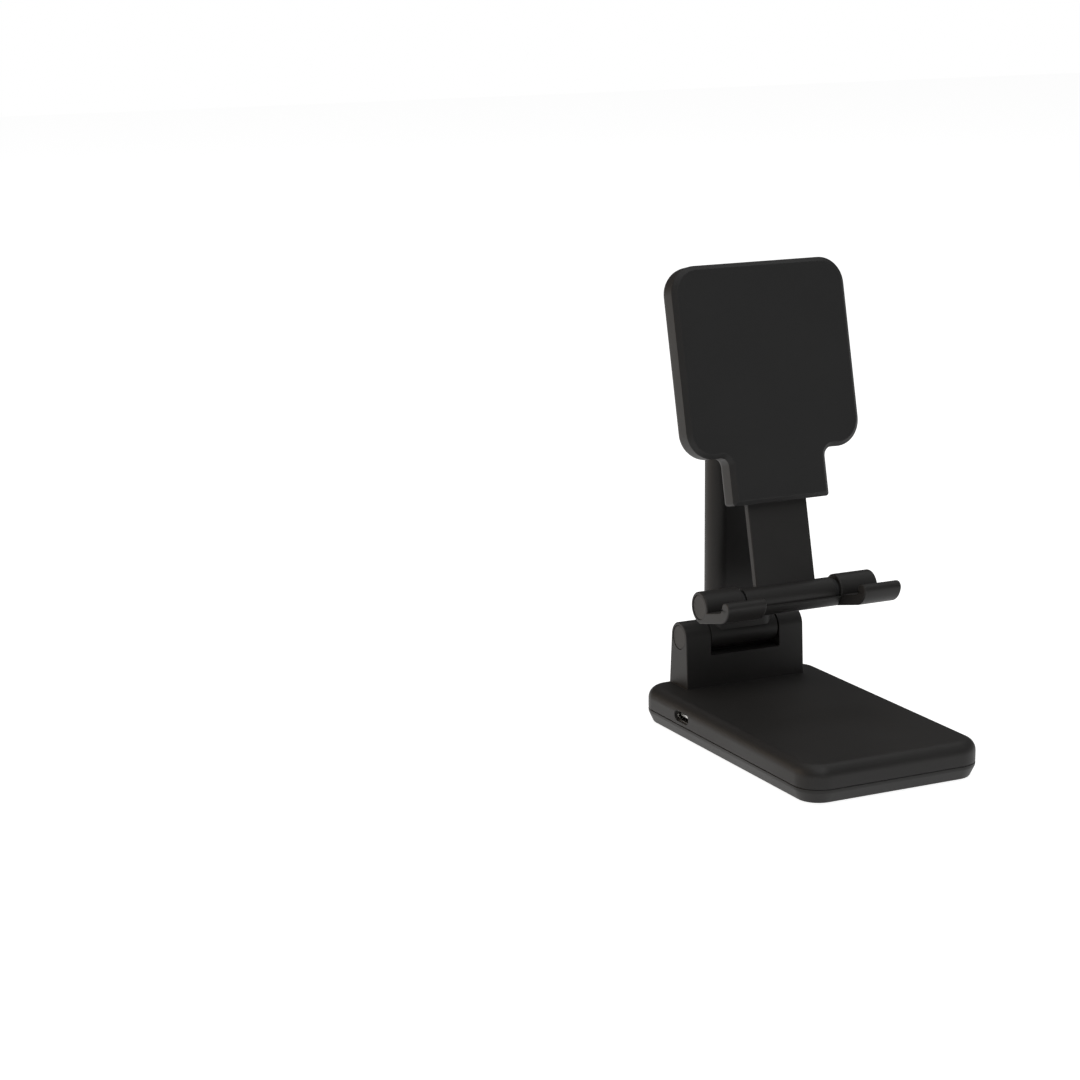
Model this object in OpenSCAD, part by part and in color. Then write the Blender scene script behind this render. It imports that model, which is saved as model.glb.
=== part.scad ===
// Folding wireless charging stand with a charging pad, and a second charging spot on its base.
// Frame: X to the right, front towards -Y, Z up, origin under the middle of the base on the table.
// Drawn as it stands in use: column upright, arm and slider pulled out, cradle open.

/* [Base] */
// Width of the base
base_w = 64; // [62:1:76]
// Length of the base, front to back
base_l = 106; // [104:1:125]
// Height of the base top above the table
base_h = 12.5; // [12.5:0.5:15]
// Corner radius of the base in plan
base_corner_r = 8.4; // [7:0.1:11]
// Radius of the top edge of the base
base_edge_r = 3.8; // [2:0.1:4]
// Height of the seam between the lower and upper shells
seam_z = 5.2; // [4.8:0.1:5.6]
// How far the lower shell draws in towards the table
base_draw_in = 1.7; // [1:0.1:3]
// Upright part of the lower shell's side
base_upright = 1.0; // [0.6:0.1:1.4]
// Wall of the base shells
base_wall = 1.8; // [1.4:0.1:2.2]
// Thickness of the lower shell's floor
floor_t = 1.6; // [1.2:0.1:2]
// Diameter of a rubber foot
foot_d = 9; // [7:0.5:11]
// How far the feet stand out below the lower shell
foot_gap = 0.6; // [0.4:0.1:1]
// Depth of a foot's pocket in the lower shell
foot_pocket = 0.6; // [0.4:0.1:0.8]

/* [Bracket] */
// Distance from the column hinge to the rear end of the base
hinge_back = 9.2; // [8.5:0.1:11]
// Height of the column hinge above the table
hinge_z = 29; // [29:0.5:32]
// Width of the bracket across both ears
bracket_w = 44.4; // [42:0.2:50]
// Radius of the round top of the bracket
bracket_r = 5.05; // [5.05:0.05:5.6]
// How far the bracket's foot reaches forward of the hinge
foot_front = 5.9; // [5.6:0.1:7]
// How far the bracket's foot reaches behind the hinge
foot_back = 6.3; // [5.6:0.1:6.6]
// Width of the slot that the column turns in
slot_w = 26; // [25:0.2:28]
// Drop from the hinge to the floor of the slot at the front
slot_drop = 6.05; // [5.8:0.05:7]
// Room round the column's knuckle in the slot
slot_room = 0.7; // [0.4:0.1:1]

/* [Hinges] */
// Radius of the round ends of the column, arm and cradle
knuckle_r = 5; // [4.8:0.1:5]
// Radius of the hinge pins
pin_r = 1.5; // [1.2:0.1:2]
// Radial room round a pin where a piece turns on it
pin_play = 0.06; // [0.03:0.01:0.09]
// Radial room round a pin or a screw where it is fixed
fixed_play = 0.02; // [0.01:0.01:0.04]
// Gap between a knuckle's end and the ear beside it
end_gap = 0.4; // [0.35:0.05:0.6]
// Thickness of a friction washer
washer_t = 0.3; // [0.2:0.05:0.3]
// Outer radius of a friction washer
washer_r = 3.6; // [3:0.1:4]
// Radius of the caps over the pin ends
cap_r = 4; // [3.6:0.1:4.2]
// Thickness of a cap
cap_t = 1.2; // [0.8:0.1:1.6]
// How far a cap sits below the face round it
cap_sink = 0.15; // [0.1:0.05:0.3]

/* [Column] */
// Width of the column
column_w = 24; // [22:0.5:25]
// Wall of the column sleeve
sleeve_wall = 1.6; // [1.4:0.1:1.8]
// Distance from the column hinge to the sleeve's lower end
sleeve_start = 2; // [1.6:0.1:2.4]
// Distance from the column hinge to the sleeve's upper end
sleeve_end = 66.6; // [62:0.2:70]
// Distance from the column hinge to the top of the tongue in the sleeve
tongue_end = 17.8; // [15:0.2:18]
// Room round the tongue in the sleeve
tongue_play = 0.1; // [0.05:0.05:0.15]
// Distance between the two column screws
screw_gap = 11; // [9:0.5:13]
// Distance from the column hinge to the column screws
screw_up = 9.7; // [9:0.1:12]
// Radius of a small screw's head
screw_head_r = 1.45; // [1.2:0.05:1.6]
// Thickness of a small screw's head
screw_head_t = 0.8; // [0.6:0.1:0.9]
// Radius of a small screw's shank
screw_shank_r = 0.8; // [0.6:0.1:1]
// Length of a small screw's shank
screw_shank = 3.2; // [2.6:0.1:3.4]
// How far the two screws at the column's back are sunk
back_sink = 0.7; // [0.4:0.1:0.9]
// How far the stop screw sits from the sleeve's upper end
stop_back = 4.6; // [4:0.1:8]

/* [Arm] */
// Distance between the column and tilt hinges with the arm pulled out
reach = 102.4; // [98:0.2:106]
// How far the arm slides into the sleeve
arm_travel = 25.5; // [20:0.5:25.5]
// Room round the arm in the sleeve
arm_play = 0.2; // [0.1:0.05:0.3]
// Gap left between the sleeve and the arm's head when it is pushed in
head_gap = 1.2; // [0.8:0.1:1.6]
// Gap left between the arm and the tongue when it is pushed in
arm_end_gap = 1.2; // [0.8:0.1:2]
// Depth of the groove that the stop screw runs in
groove_depth = 1.5; // [1.2:0.1:1.8]

/* [Plate] */
// Width of the charging pad
pad_w = 63.2; // [60:0.1:64]
// Height of the pad above the tilt hinge, along the plate
pad_above = 18.2; // [17.5:0.1:20]
// Height of the pad below the tilt hinge, along the plate
pad_below = 43; // [41:0.2:45]
// Corner radius of the pad
pad_corner_r = 8.8; // [8:0.1:12]
// Thickness of the plate
plate_t = 9.4; // [9.4:0.1:9.8]
// Distance from the tilt hinge to the pad's face
plate_drop = 15.6; // [15.6:0.1:15.9]
// Bevel round the pad's face, and depth of the front cover
bevel = 1.3; // [1:0.1:1.4]
// Radius of the plate's back edge
back_edge_r = 3.6; // [2:0.1:3.8]
// Width of the neck below the pad
neck_w = 35.2; // [33:0.2:35.2]
// Length of the neck below the pad
neck_l = 15.5; // [14:0.1:15.6]
// Radius of the fillets between pad and neck
neck_fillet_r = 3; // [2:0.1:3]
// Wall of the plate's back shell
plate_wall = 1.8; // [1.5:0.1:1.8]
// Width of the plate's hinge across both ears
ears_w = 47.2; // [44:0.2:50]
// Radius of an ear's round top
ear_r = 5.5; // [5.2:0.1:5.8]
// How far up the plate an ear's rib runs from the hinge
rib_up = 13.7; // [10:0.1:14.5]
// How far an ear's rib stands in from the ear's face
rib_inset = 0.8; // [0.4:0.1:1.2]
// Tilt of the plate back from the column, degrees
tilt = 13.12; // [8:0.1:16]

/* [Slider and cradle] */
// Width of the slider
slider_w = 21.8; // [20:0.2:22]
// Thickness of the slider
slider_t = 2.6; // [2.2:0.1:2.7]
// Distance from the pad's lower edge to the cradle hinge, slider pulled out
cradle_out = 45.9; // [45.5:0.1:47]
// Distance from the pad's face back to the cradle hinge
cradle_depth = 5.3; // [5.3:0.05:5.4]
// How far the slider goes into the plate
slider_travel = 24.8; // [20:0.2:24.8]
// Room beside and behind the slider in its channel
slider_play = 0.2; // [0.1:0.05:0.25]
// Radius of the slider's middle knuckle
mid_knuckle_r = 4.2; // [4:0.1:4.3]
// Length of the slider's middle knuckle
mid_knuckle_l = 33; // [30:0.2:33.2]
// Overall length of the cradle
cradle_l = 63.6; // [60:0.2:66]
// Gap between the inner sides of the two hooks
hooks_gap = 36; // [35.8:0.2:38]
// Drop from the cradle hinge to the hook's underside
hook_drop = 5.3; // [5.2:0.05:5.3]
// Thickness of a hook's floor
hook_floor = 3.5; // [3:0.1:3.6]
// Reach of a hook from the cradle hinge to its outer face
hook_reach = 19.3; // [17:0.1:19.4]
// Height of a hook's tip above the cradle hinge
hook_tip = 1.2; // [0.8:0.1:2]
// Thickness of a hook's lip at the tip
lip_t = 4.8; // [4:0.1:5]
// Radius of the outer curve under a hook's lip
hook_curve_r = 6.5; // [5:0.1:6.5]
// Thickness of the web that joins the hooks under the middle knuckle
web_t = 0.9; // [0.8:0.1:0.95]

/* [Electronics] */
// Width of a port's shell
port_w = 8.9; // [8.5:0.1:9]
// Height of a port's shell
port_h = 3.2; // [3:0.1:3.3]
// Length of a port's shell
port_l = 7.3; // [6.5:0.1:7.5]
// Thickness of a port's shell
port_wall = 0.3; // [0.2:0.05:0.4]
// Width of the contact tongue in a port
port_tongue_w = 6.5; // [6:0.1:6.7]
// Thickness of the contact tongue in a port
port_tongue_t = 0.7; // [0.5:0.1:0.9]
// How far the contact tongue sits in from a port's mouth
port_tongue_in = 1.2; // [0.8:0.1:1.6]
// How far a port's shell stands back from the face of the base
port_sink = 0.9; // [0.3:0.1:1.2]
// Distance of the side port behind the middle of the base
side_port_y = 24.6; // [22:0.2:28]
// Distance of the status light left of the middle
light_x = 9.4; // [8:0.1:12]
// Height of the status light above the table
light_z = 6.8; // [6.6:0.1:7.2]
// Radius of the status light
light_r = 0.8; // [0.6:0.1:1]
// Outer radius of the charging coil in the base
base_coil_r = 20; // [16:0.5:22]
// Distance of the base coil in front of the middle of the base
base_coil_y = 16; // [12:1:24]
// Outer radius of the charging coil in the plate
pad_coil_r = 22; // [18:0.5:24]
// Radial width of both coils' windings
coil_band = 11; // [8:0.5:13]
// Thickness of the coils
coil_t = 0.8; // [0.6:0.1:0.9]
// Thickness of the ferrite sheets
ferrite_t = 0.5; // [0.4:0.1:0.6]
// Thickness of the circuit boards
board_t = 1.2; // [1:0.1:1.2]
// Width of the main board
main_board_w = 32; // [28:1:34]
// Thickness of the ballast plate
ballast_t = 2.2; // [1.5:0.1:2.4]
// Length of the ballast plate
ballast_l = 40; // [30:1:42]
// Width of the ballast plate
ballast_w = 46; // [40:1:48]
// Width of the board in the plate
pad_board_w = 9; // [6:0.5:10]
// Length of the board in the plate
pad_board_l = 20; // [16:1:24]

/* [Hidden] */

black = [0.13, 0.13, 0.13];
dark = [0.2, 0.2, 0.2];
grey = [0.33, 0.32, 0.31];
steel = [0.72, 0.72, 0.72];
copper = [0.72, 0.43, 0.25];
green = [0.05, 0.3, 0.15];
ferrite_grey = [0.25, 0.25, 0.27];
lens_white = [0.85, 0.88, 0.85];
soft_fn = 48;
edge_fn = 32;
fine_fn = 64;
eps = 0.01;

// Levels, places and insets in the base
hinge_y = base_l / 2 - hinge_back;
under_z = foot_gap;
floor_z = under_z + floor_t;
roof_z = base_h - base_wall;
roof_bevel = (base_edge_r - base_wall) / 2;
foot_in = base_corner_r + base_draw_in;
boss_r = 3;
base_head_r = 2.2;
base_head_t = 0.9;
base_shank_r = 1.1;
base_shank_end = roof_z - 0.8;
screw_tip_room = 0.3;
ballast_corner_r = 4;
ballast_gap = 0.6;
ballast_front = foot_in - base_l / 2 + boss_r + ballast_gap;
cavity_play = 0.3;

// The main board lies on posts level with the seam and carries both ports. It fills the rear of
// the base and reaches the left wall at the side port
board_z = seam_z;
port_z = board_z + board_t + port_h / 2;
port_margin = 1.5;
board_front = side_port_y - port_w / 2 - 2 * port_margin;
board_back = base_l / 2 - base_wall - cavity_play;
board_left = base_w / 2 - base_wall - cavity_play;
post_r = 2;
front_post = [main_board_w / 2 - 4, board_front + 4];
rear_post = [main_board_w / 2 - 7, board_back - base_draw_in - 5];
chip_h = 1.4;
big_chip = [7, 7];
big_chip_at = [1, side_port_y - 2];
small_chip = [4, 6];
left_chip_at = [-15, side_port_y + 9];
right_chip_at = [11, side_port_y + 8];
light_t = base_wall - 0.1;

// Places along the column, measured from its hinge
knuckle_half = slot_w / 2 - end_gap;
arm_start = tongue_end + arm_end_gap + arm_travel;
head_start = sleeve_end + head_gap + arm_travel;
stop_z = sleeve_end - stop_back;
cavity_w = column_w - 2 * sleeve_wall;
cavity_t = 2 * (knuckle_r - sleeve_wall);
recess_w = screw_gap + 2;
recess_h = 2.2;
recess_low = -1.2;
recess_deep = 0.5;
groove_end_gap = 0.2;

// Places in the plate, measured from the tilt hinge along and across it
face_y = -plate_drop;
back_y = face_y + plate_t;
pad_low = -pad_below;
pad_h = pad_above + pad_below;
ear_in = knuckle_half + end_gap;
ears_half = ears_w / 2;
cavity_back = plate_t - plate_wall;
channel_w = slider_w + 2 * slider_play;
channel_front = cradle_depth - slider_t / 2 - slider_play / 2;
channel_back = cradle_depth + slider_t / 2 + slider_play;
guide_t = 0.6;
rail_t = 1.2;
slider_inside = 6;
channel_end = slider_inside + slider_travel + 2;
neck_end_r = 1;
pad_centre = pad_low + pad_h / 2;
cover_lip_t = 1;
cover_lip_h = 1;
cover_lip_play = 0.1;
guide_boss_r = 1.8;
guide_screw_x = channel_w / 2 + rail_t + guide_boss_r - 0.2;
guide_screw_r = 1.2;
guide_screw_t = 0.5;
guide_shank = guide_screw_t + guide_t + screw_shank - 0.4;
guide_w = 2 * (guide_screw_x + guide_boss_r);
guide_screw_z = [pad_low + channel_end - 4, pad_low - neck_l + plate_wall + 6];
pad_board_x = pad_w / 2 - plate_wall - pad_board_w / 2 - 1.2;
pad_board_depth = 4.4;
pad_post_r = 1.5;
pad_post_z = 7;

// Places in the cradle, measured from its hinge
cradle_half = cradle_l / 2;
hook_in = hooks_gap / 2;
mid_half = mid_knuckle_l / 2;
web_from = -28;
web_to = -125;
web_steps = 16;
tip_r = 1.2;
lip_draft = 0.1;
lip_foot_r = 1.6;

// Tangent point on a circle of radius r at the origin, for a line from point p on side s
function tangent(p, r, s) = let (a = atan2(p[1], p[0]) + s * acos(r / norm(p))) [r * cos(a), r * sin(a)];

// Rounded rectangle about the origin, with true arcs
module round_rect(w, l, r) {
    square([w - 2 * r, l], center = true);
    square([w, l - 2 * r], center = true);
    for (x = [-1, 1], y = [-1, 1]) translate([x * (w / 2 - r), y * (l / 2 - r)]) circle(r, $fn = fine_fn);
}

// Flat oval about the origin: width w, thickness t, half-round sides
module oval(w, t) {
    square([w - t, t], center = true);
    for (x = [-1, 1]) translate([x * (w - t) / 2, 0]) circle(t / 2, $fn = fine_fn);
}

// Block with four round corners whose side profile is the 2D child, drawn from its corner axis out
module corner_block(w, l, r) {
    hull() for (x = [-1, 1], y = [-1, 1]) translate([x * (w / 2 - r), y * (l / 2 - r), 0])
        rotate_extrude($fn = soft_fn) children();
}

// The child on the right, and its mirror image on the left
module both_sides() {
    children();
    mirror([1, 0, 0]) children();
}

// Cylinder along X between two places
module bar_x(x0, x1, r) {
    translate([x0, 0, 0]) rotate([0, 90, 0]) cylinder(r = r, h = x1 - x0, $fn = fine_fn);
}

// Ring along X between two places
module ring_x(x0, x1, r_in, r_out) {
    translate([x0, 0, 0]) rotate([0, 90, 0]) linear_extrude(x1 - x0) difference() {
        circle(r_out, $fn = fine_fn);
        circle(r_in, $fn = fine_fn);
    }
}

// Side outline in Y and Z pulled along X between two places
module side_extrude(x0, x1) {
    translate([x0, 0, 0]) rotate([90, 0, 90]) linear_extrude(x1 - x0) children();
}

// Frames of the moving pieces at rest
module at_column() { translate([0, hinge_y, hinge_z]) children(); }
module at_plate() { at_column() translate([0, 0, reach]) rotate([-tilt, 0, 0]) children(); }
module at_cradle() { at_plate() translate([0, face_y + cradle_depth, pad_low - cradle_out]) children(); }

// Places that repeat in the base
module at_corners() {
    for (x = [-1, 1], y = [-1, 1]) translate([x * (base_w / 2 - foot_in), y * (base_l / 2 - foot_in), 0])
        children();
}

// Base

module bracket_outline() {
    front = [-foot_front, base_h - hinge_z];
    back = [foot_back, base_h - hinge_z];
    circle(bracket_r, $fn = fine_fn);
    polygon([front, tangent(front, bracket_r, -1), [0, 0], tangent(back, bracket_r, 1), back,
        back - [0, base_wall / 2], front - [0, base_wall / 2]]);
}

module bracket_slot() {
    bar_x(-slot_w / 2, slot_w / 2, knuckle_r + slot_room);
    translate([-slot_w / 2, -foot_front - 1, -slot_drop]) cube([slot_w, foot_front + 1, slot_drop]);
    translate([-slot_w / 2, -foot_front - 1, 0])
        cube([slot_w, foot_front + foot_back + 2, bracket_r + 1]);
}

module base_cover() {
    color(black) difference() {
        union() {
            corner_block(base_w, base_l, base_corner_r) {
                r = base_corner_r;
                side_top = base_h - base_edge_r;
                translate([0, seam_z]) square([r, side_top - seam_z]);
                translate([0, seam_z]) square([r - base_edge_r, base_h - seam_z]);
                intersection() {
                    translate([r - base_edge_r, side_top]) circle(base_edge_r, $fn = edge_fn);
                    translate([0, side_top - eps]) square([r, base_edge_r + eps]);
                }
            }
            at_column() side_extrude(-bracket_w / 2, bracket_w / 2) bracket_outline();
        }
        difference() {
            corner_block(base_w - 2 * base_wall, base_l - 2 * base_wall, base_corner_r - base_wall) {
                r = base_corner_r - base_wall;
                polygon([[0, seam_z - eps], [r, seam_z - eps], [r, roof_z - roof_bevel],
                    [r - roof_bevel, roof_z], [0, roof_z]]);
            }
            at_corners() translate([0, 0, floor_z]) cylinder(r = boss_r, h = base_h, $fn = fine_fn);
        }
        at_corners() cylinder(r = base_shank_r + fixed_play, h = base_shank_end + screw_tip_room,
            $fn = fine_fn);
        at_column() {
            bracket_slot();
            bar_x(-bracket_w / 2 - eps, bracket_w / 2 + eps, pin_r + fixed_play);
            cap_holes(bracket_w / 2);
        }
        side_port_hole();
        rear_port_hole();
        light_hole();
    }
}

module port_outline(grow) {
    translate([0, port_z]) oval(port_w + 2 * grow, port_h + 2 * grow);
}

module side_port_hole() {
    translate([-base_w / 2 - eps, side_port_y, 0]) rotate([90, 0, 90])
        linear_extrude(base_wall + 2 * eps) port_outline(fixed_play);
}

module rear_port_hole() {
    translate([0, base_l / 2 + eps, 0]) rotate([90, 0, 0])
        linear_extrude(base_wall + 2 * eps) port_outline(fixed_play);
}

module light_hole() {
    translate([-light_x, base_l / 2 + eps, light_z]) rotate([90, 0, 0])
        cylinder(r = light_r + fixed_play, h = base_wall + 2 * eps, $fn = fine_fn);
}

module base_bottom() {
    color(black) difference() {
        corner_block(base_w, base_l, base_corner_r) polygon([[0, under_z],
            [base_corner_r - base_draw_in, under_z], [base_corner_r, seam_z - base_upright],
            [base_corner_r, seam_z], [0, seam_z]]);
        difference() {
            in = 2 * (base_wall + base_draw_in);
            translate([0, 0, floor_z]) linear_extrude(base_h)
                round_rect(base_w - in, base_l - in, base_corner_r - base_draw_in);
            at_corners() translate([0, 0, under_z]) cylinder(r = boss_r, h = seam_z - under_z,
                $fn = fine_fn);
            at_board_posts() translate([0, 0, under_z]) cylinder(r = post_r, h = board_z - under_z,
                $fn = fine_fn);
        }
        at_corners() {
            translate([0, 0, under_z - eps]) cylinder(r = foot_d / 2 + fixed_play, h = foot_pocket + eps,
                $fn = fine_fn);
            cylinder(r = base_head_r + fixed_play, h = under_z + foot_pocket + base_head_t, $fn = fine_fn);
            cylinder(r = base_shank_r + fixed_play, h = base_h, $fn = fine_fn);
        }
    }
}

module foot_pads() {
    color(dark) at_corners() cylinder(r = foot_d / 2, h = foot_gap + foot_pocket, $fn = fine_fn);
}

module base_screws() {
    color(steel) at_corners() {
        translate([0, 0, foot_gap + foot_pocket]) cylinder(r = base_head_r, h = base_head_t, $fn = fine_fn);
        translate([0, 0, foot_gap + foot_pocket]) cylinder(r = base_shank_r,
            h = base_shank_end - foot_gap - foot_pocket, $fn = fine_fn);
    }
}

module ballast_plate() {
    color(steel) translate([0, ballast_front + ballast_l / 2, floor_z]) linear_extrude(ballast_t)
        round_rect(ballast_w, ballast_l, ballast_corner_r);
}

module at_board_posts() {
    for (p = [front_post, rear_post]) both_sides() translate([p[0], p[1], 0]) children();
}

module main_board() {
    color(green) translate([0, 0, board_z]) linear_extrude(board_t) {
        translate([-main_board_w / 2, board_front]) square([main_board_w, board_back - board_front]);
        translate([-board_left, side_port_y - port_w / 2 - port_margin])
            square([board_left, port_w + 2 * port_margin]);
    }
    color(dark) translate([0, 0, board_z + board_t - eps]) linear_extrude(chip_h) {
        translate(big_chip_at) square(big_chip);
        translate(left_chip_at) square(small_chip);
        translate(right_chip_at) square(small_chip);
    }
}

module port_shell() {
    difference() {
        translate([0, 0, -port_l]) linear_extrude(port_l) oval(port_w, port_h);
        translate([0, 0, -port_l + port_wall]) linear_extrude(port_l)
            oval(port_w - 2 * port_wall, port_h - 2 * port_wall);
    }
    translate([0, 0, -port_l + port_wall / 2]) linear_extrude(port_l - port_tongue_in)
        oval(port_tongue_w, port_tongue_t);
}

module rear_port() {
    color(steel) translate([0, base_l / 2 - port_sink, port_z]) rotate([-90, 0, 0]) port_shell();
}

module side_port() {
    color(steel) translate([port_sink - base_w / 2, side_port_y, port_z]) rotate([0, -90, 0])
        rotate([0, 0, 90]) port_shell();
}

module status_light() {
    color(lens_white) translate([-light_x, base_l / 2 - base_wall, light_z]) rotate([-90, 0, 0])
        cylinder(r = light_r, h = light_t, $fn = fine_fn);
}

module flat_coil(r) {
    linear_extrude(coil_t) difference() {
        circle(r, $fn = fine_fn);
        circle(r - coil_band, $fn = fine_fn);
    }
}

module base_coil() {
    color(copper) translate([0, -base_coil_y, roof_z - coil_t]) flat_coil(base_coil_r);
}

module base_ferrite() {
    color(ferrite_grey) translate([0, -base_coil_y, roof_z - coil_t - ferrite_t])
        cylinder(r = base_coil_r + 1, h = ferrite_t, $fn = fine_fn);
}

// Hinge pins, washers and caps

module pin_between(half) { color(steel) bar_x(-half, half, pin_r); }

module washers_at(x) { color(steel) both_sides() ring_x(x - washer_t, x, pin_r + pin_play, washer_r); }

module caps_at(half) { color(grey) both_sides() bar_x(half - cap_sink - cap_t, half - cap_sink, cap_r); }

module cap_holes(half) { both_sides() bar_x(half - cap_sink - cap_t, half + eps, cap_r + fixed_play); }

module column_pin() { at_column() pin_between(bracket_w / 2 - cap_sink - cap_t); }
module column_washers() { at_column() washers_at(slot_w / 2); }
module column_pin_caps() { at_column() caps_at(bracket_w / 2); }
module tilt_pin() { at_plate() pin_between(ears_half - cap_sink - cap_t - end_gap / 2); }
module tilt_washers() { at_plate() washers_at(ear_in); }
module tilt_pin_caps() { at_plate() caps_at(ears_half); }
module cradle_pin() { at_cradle() pin_between(cradle_half - cap_sink - cap_t - end_gap / 2); }
module cradle_pin_caps() { at_cradle() caps_at(cradle_half); }

// These fill the gaps between the middle knuckle and the hooks
module cradle_washers() {
    color(dark) at_cradle() both_sides()
        ring_x(mid_half + end_gap / 2, hook_in, pin_r + pin_play, washer_r);
}

// Column

module small_screw_holes(at_back, deep) {
    side = at_back ? 1 : -1;
    translate([0, side * (knuckle_r + eps), 0]) rotate([side * 90, 0, 0]) {
        cylinder(r = screw_head_r + fixed_play, h = screw_head_t + deep + eps, $fn = fine_fn);
        cylinder(r = screw_shank_r + fixed_play, h = screw_head_t + deep + screw_shank + eps,
            $fn = fine_fn);
    }
}

module small_screw(at_back, deep) {
    side = at_back ? 1 : -1;
    translate([0, side * (knuckle_r - deep), 0]) rotate([side * 90, 0, 0]) {
        cylinder(r = screw_head_r, h = screw_head_t, $fn = fine_fn);
        cylinder(r = screw_shank_r, h = screw_head_t + screw_shank, $fn = fine_fn);
    }
}

module at_column_screws() {
    for (x = [-1, 1]) translate([x * screw_gap / 2, 0, screw_up]) children();
}

module column_screw_holes() {
    at_column_screws() {
        small_screw_holes(false, 0);
        small_screw_holes(true, back_sink);
    }
}

module column_knuckle() {
    color(black) at_column() difference() {
        union() {
            bar_x(-knuckle_half, knuckle_half, knuckle_r);
            linear_extrude(tongue_end) oval(cavity_w - 2 * tongue_play, cavity_t - 2 * tongue_play);
        }
        bar_x(-knuckle_half - eps, knuckle_half + eps, pin_r + pin_play);
        column_screw_holes();
        // Moulded recess at the back of the knuckle
        translate([-recess_w / 2, knuckle_r - recess_deep, recess_low])
            cube([recess_w, recess_deep + eps, recess_h]);
    }
}

module column_sleeve() {
    color(black) at_column() difference() {
        translate([0, 0, sleeve_start]) linear_extrude(sleeve_end - sleeve_start)
            oval(column_w, 2 * knuckle_r);
        translate([0, 0, sleeve_start - eps]) linear_extrude(sleeve_end - sleeve_start + 2 * eps)
            oval(cavity_w, cavity_t);
        bar_x(-column_w, column_w, knuckle_r + fixed_play);
        column_screw_holes();
        translate([0, 0, stop_z]) small_screw_holes(true, 0);
    }
}

module front_screws() { color(steel) at_column() at_column_screws() small_screw(false, 0); }
module back_screws() { color(dark) at_column() at_column_screws() small_screw(true, back_sink); }

// The stop screw passes the sleeve's wall into the groove along the arm
module stop_screw() {
    color(dark) at_column() translate([0, knuckle_r, stop_z]) rotate([90, 0, 0]) {
        cylinder(r = screw_head_r, h = screw_head_t, $fn = fine_fn);
        cylinder(r = screw_shank_r, h = sleeve_wall + groove_depth - groove_end_gap, $fn = fine_fn);
    }
}

module inner_arm() {
    groove_w = 2 * (screw_shank_r + arm_play);
    arm_half_t = cavity_t / 2 - arm_play;
    color(black) at_column() difference() {
        union() {
            translate([0, 0, arm_start]) linear_extrude(head_start - arm_start + 1)
                oval(cavity_w - 2 * arm_play, 2 * arm_half_t);
            translate([0, 0, head_start]) linear_extrude(reach - head_start) oval(column_w, 2 * knuckle_r);
            translate([0, 0, reach]) bar_x(-knuckle_half, knuckle_half, knuckle_r);
        }
        translate([0, 0, reach]) bar_x(-knuckle_half - eps, knuckle_half + eps, pin_r + pin_play);
        translate([-groove_w / 2, arm_half_t - groove_depth, stop_z - groove_w / 2])
            cube([groove_w, groove_depth + eps, arm_travel + groove_w]);
    }
}

// Plate

// Moves a drawing made with X across, Y up the plate and Z back from the pad's face into place
module on_face(depth) { translate([0, face_y + depth, 0]) rotate([90, 0, 0]) mirror([0, 0, 1]) children(); }

module pad_outline(in) {
    translate([0, pad_centre]) round_rect(pad_w - 2 * in, pad_h - 2 * in, pad_corner_r - in);
}

module neck_outline(in) {
    r = max(neck_end_r - in, neck_end_r / 5);
    half = neck_w / 2 - in;
    low = pad_low - neck_l + in;
    translate([-half, low + r]) square([2 * half, neck_l + pad_corner_r - r]);
    translate([-half + r, low]) square([2 * (half - r), neck_l]);
    for (s = [-1, 1]) translate([s * (half - r), low + r]) circle(r, $fn = edge_fn);
}

module neck_fillets(depth, r_front) {
    r = neck_fillet_r;
    for (s = [-1, 1]) difference() {
        translate([s > 0 ? neck_w / 2 - eps : -neck_w / 2 - r, pad_low - r, 0])
            cube([r + eps, r + 1, depth]);
        translate([s * (neck_w / 2 + r), pad_low - r, -eps])
            cylinder(r1 = r_front, r2 = r, h = depth + 2 * eps, $fn = fine_fn);
    }
}

module plate_front() {
    color(black) at_plate() {
        on_face(0) {
            hull() {
                linear_extrude(eps) pad_outline(bevel);
                translate([0, 0, bevel - eps]) linear_extrude(eps) pad_outline(0);
            }
            hull() {
                linear_extrude(eps) neck_outline(bevel);
                translate([0, 0, bevel - eps]) linear_extrude(eps) neck_outline(0);
            }
            neck_fillets(bevel, neck_fillet_r + bevel);
        }
        // Lip that locates the cover in the back shell
        on_face(bevel - eps) linear_extrude(cover_lip_h + eps) difference() {
            pad_outline(plate_wall + cover_lip_play);
            pad_outline(plate_wall + cover_lip_play + cover_lip_t);
        }
    }
}

module plate_block() {
    on_face(0) {
        translate([0, pad_centre, 0]) corner_block(pad_w, pad_h, pad_corner_r) {
            r = pad_corner_r;
            edge = plate_t - back_edge_r;
            translate([0, bevel]) square([r, edge - bevel]);
            translate([0, bevel]) square([r - back_edge_r, plate_t - bevel]);
            intersection() {
                translate([r - back_edge_r, edge]) circle(back_edge_r, $fn = edge_fn);
                translate([0, edge - eps]) square([r, back_edge_r + eps]);
            }
        }
        hull() {
            translate([0, 0, bevel]) linear_extrude(plate_t - back_edge_r - bevel) neck_outline(0);
            translate([0, 0, plate_t - eps]) linear_extrude(eps) neck_outline(back_edge_r / 2);
            translate([0, 0, plate_t - back_edge_r / 2]) linear_extrude(eps) neck_outline(back_edge_r / 6);
        }
        translate([0, 0, bevel]) neck_fillets(plate_t - back_edge_r - bevel, neck_fillet_r);
    }
}

module plate_hollow() {
    on_face(bevel - eps) linear_extrude(cavity_back - bevel + eps) {
        translate([0, pad_centre]) round_rect(pad_w - 2 * plate_wall, pad_h - 2 * plate_wall,
            pad_corner_r - plate_wall);
        neck_outline(plate_wall);
    }
}

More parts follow.
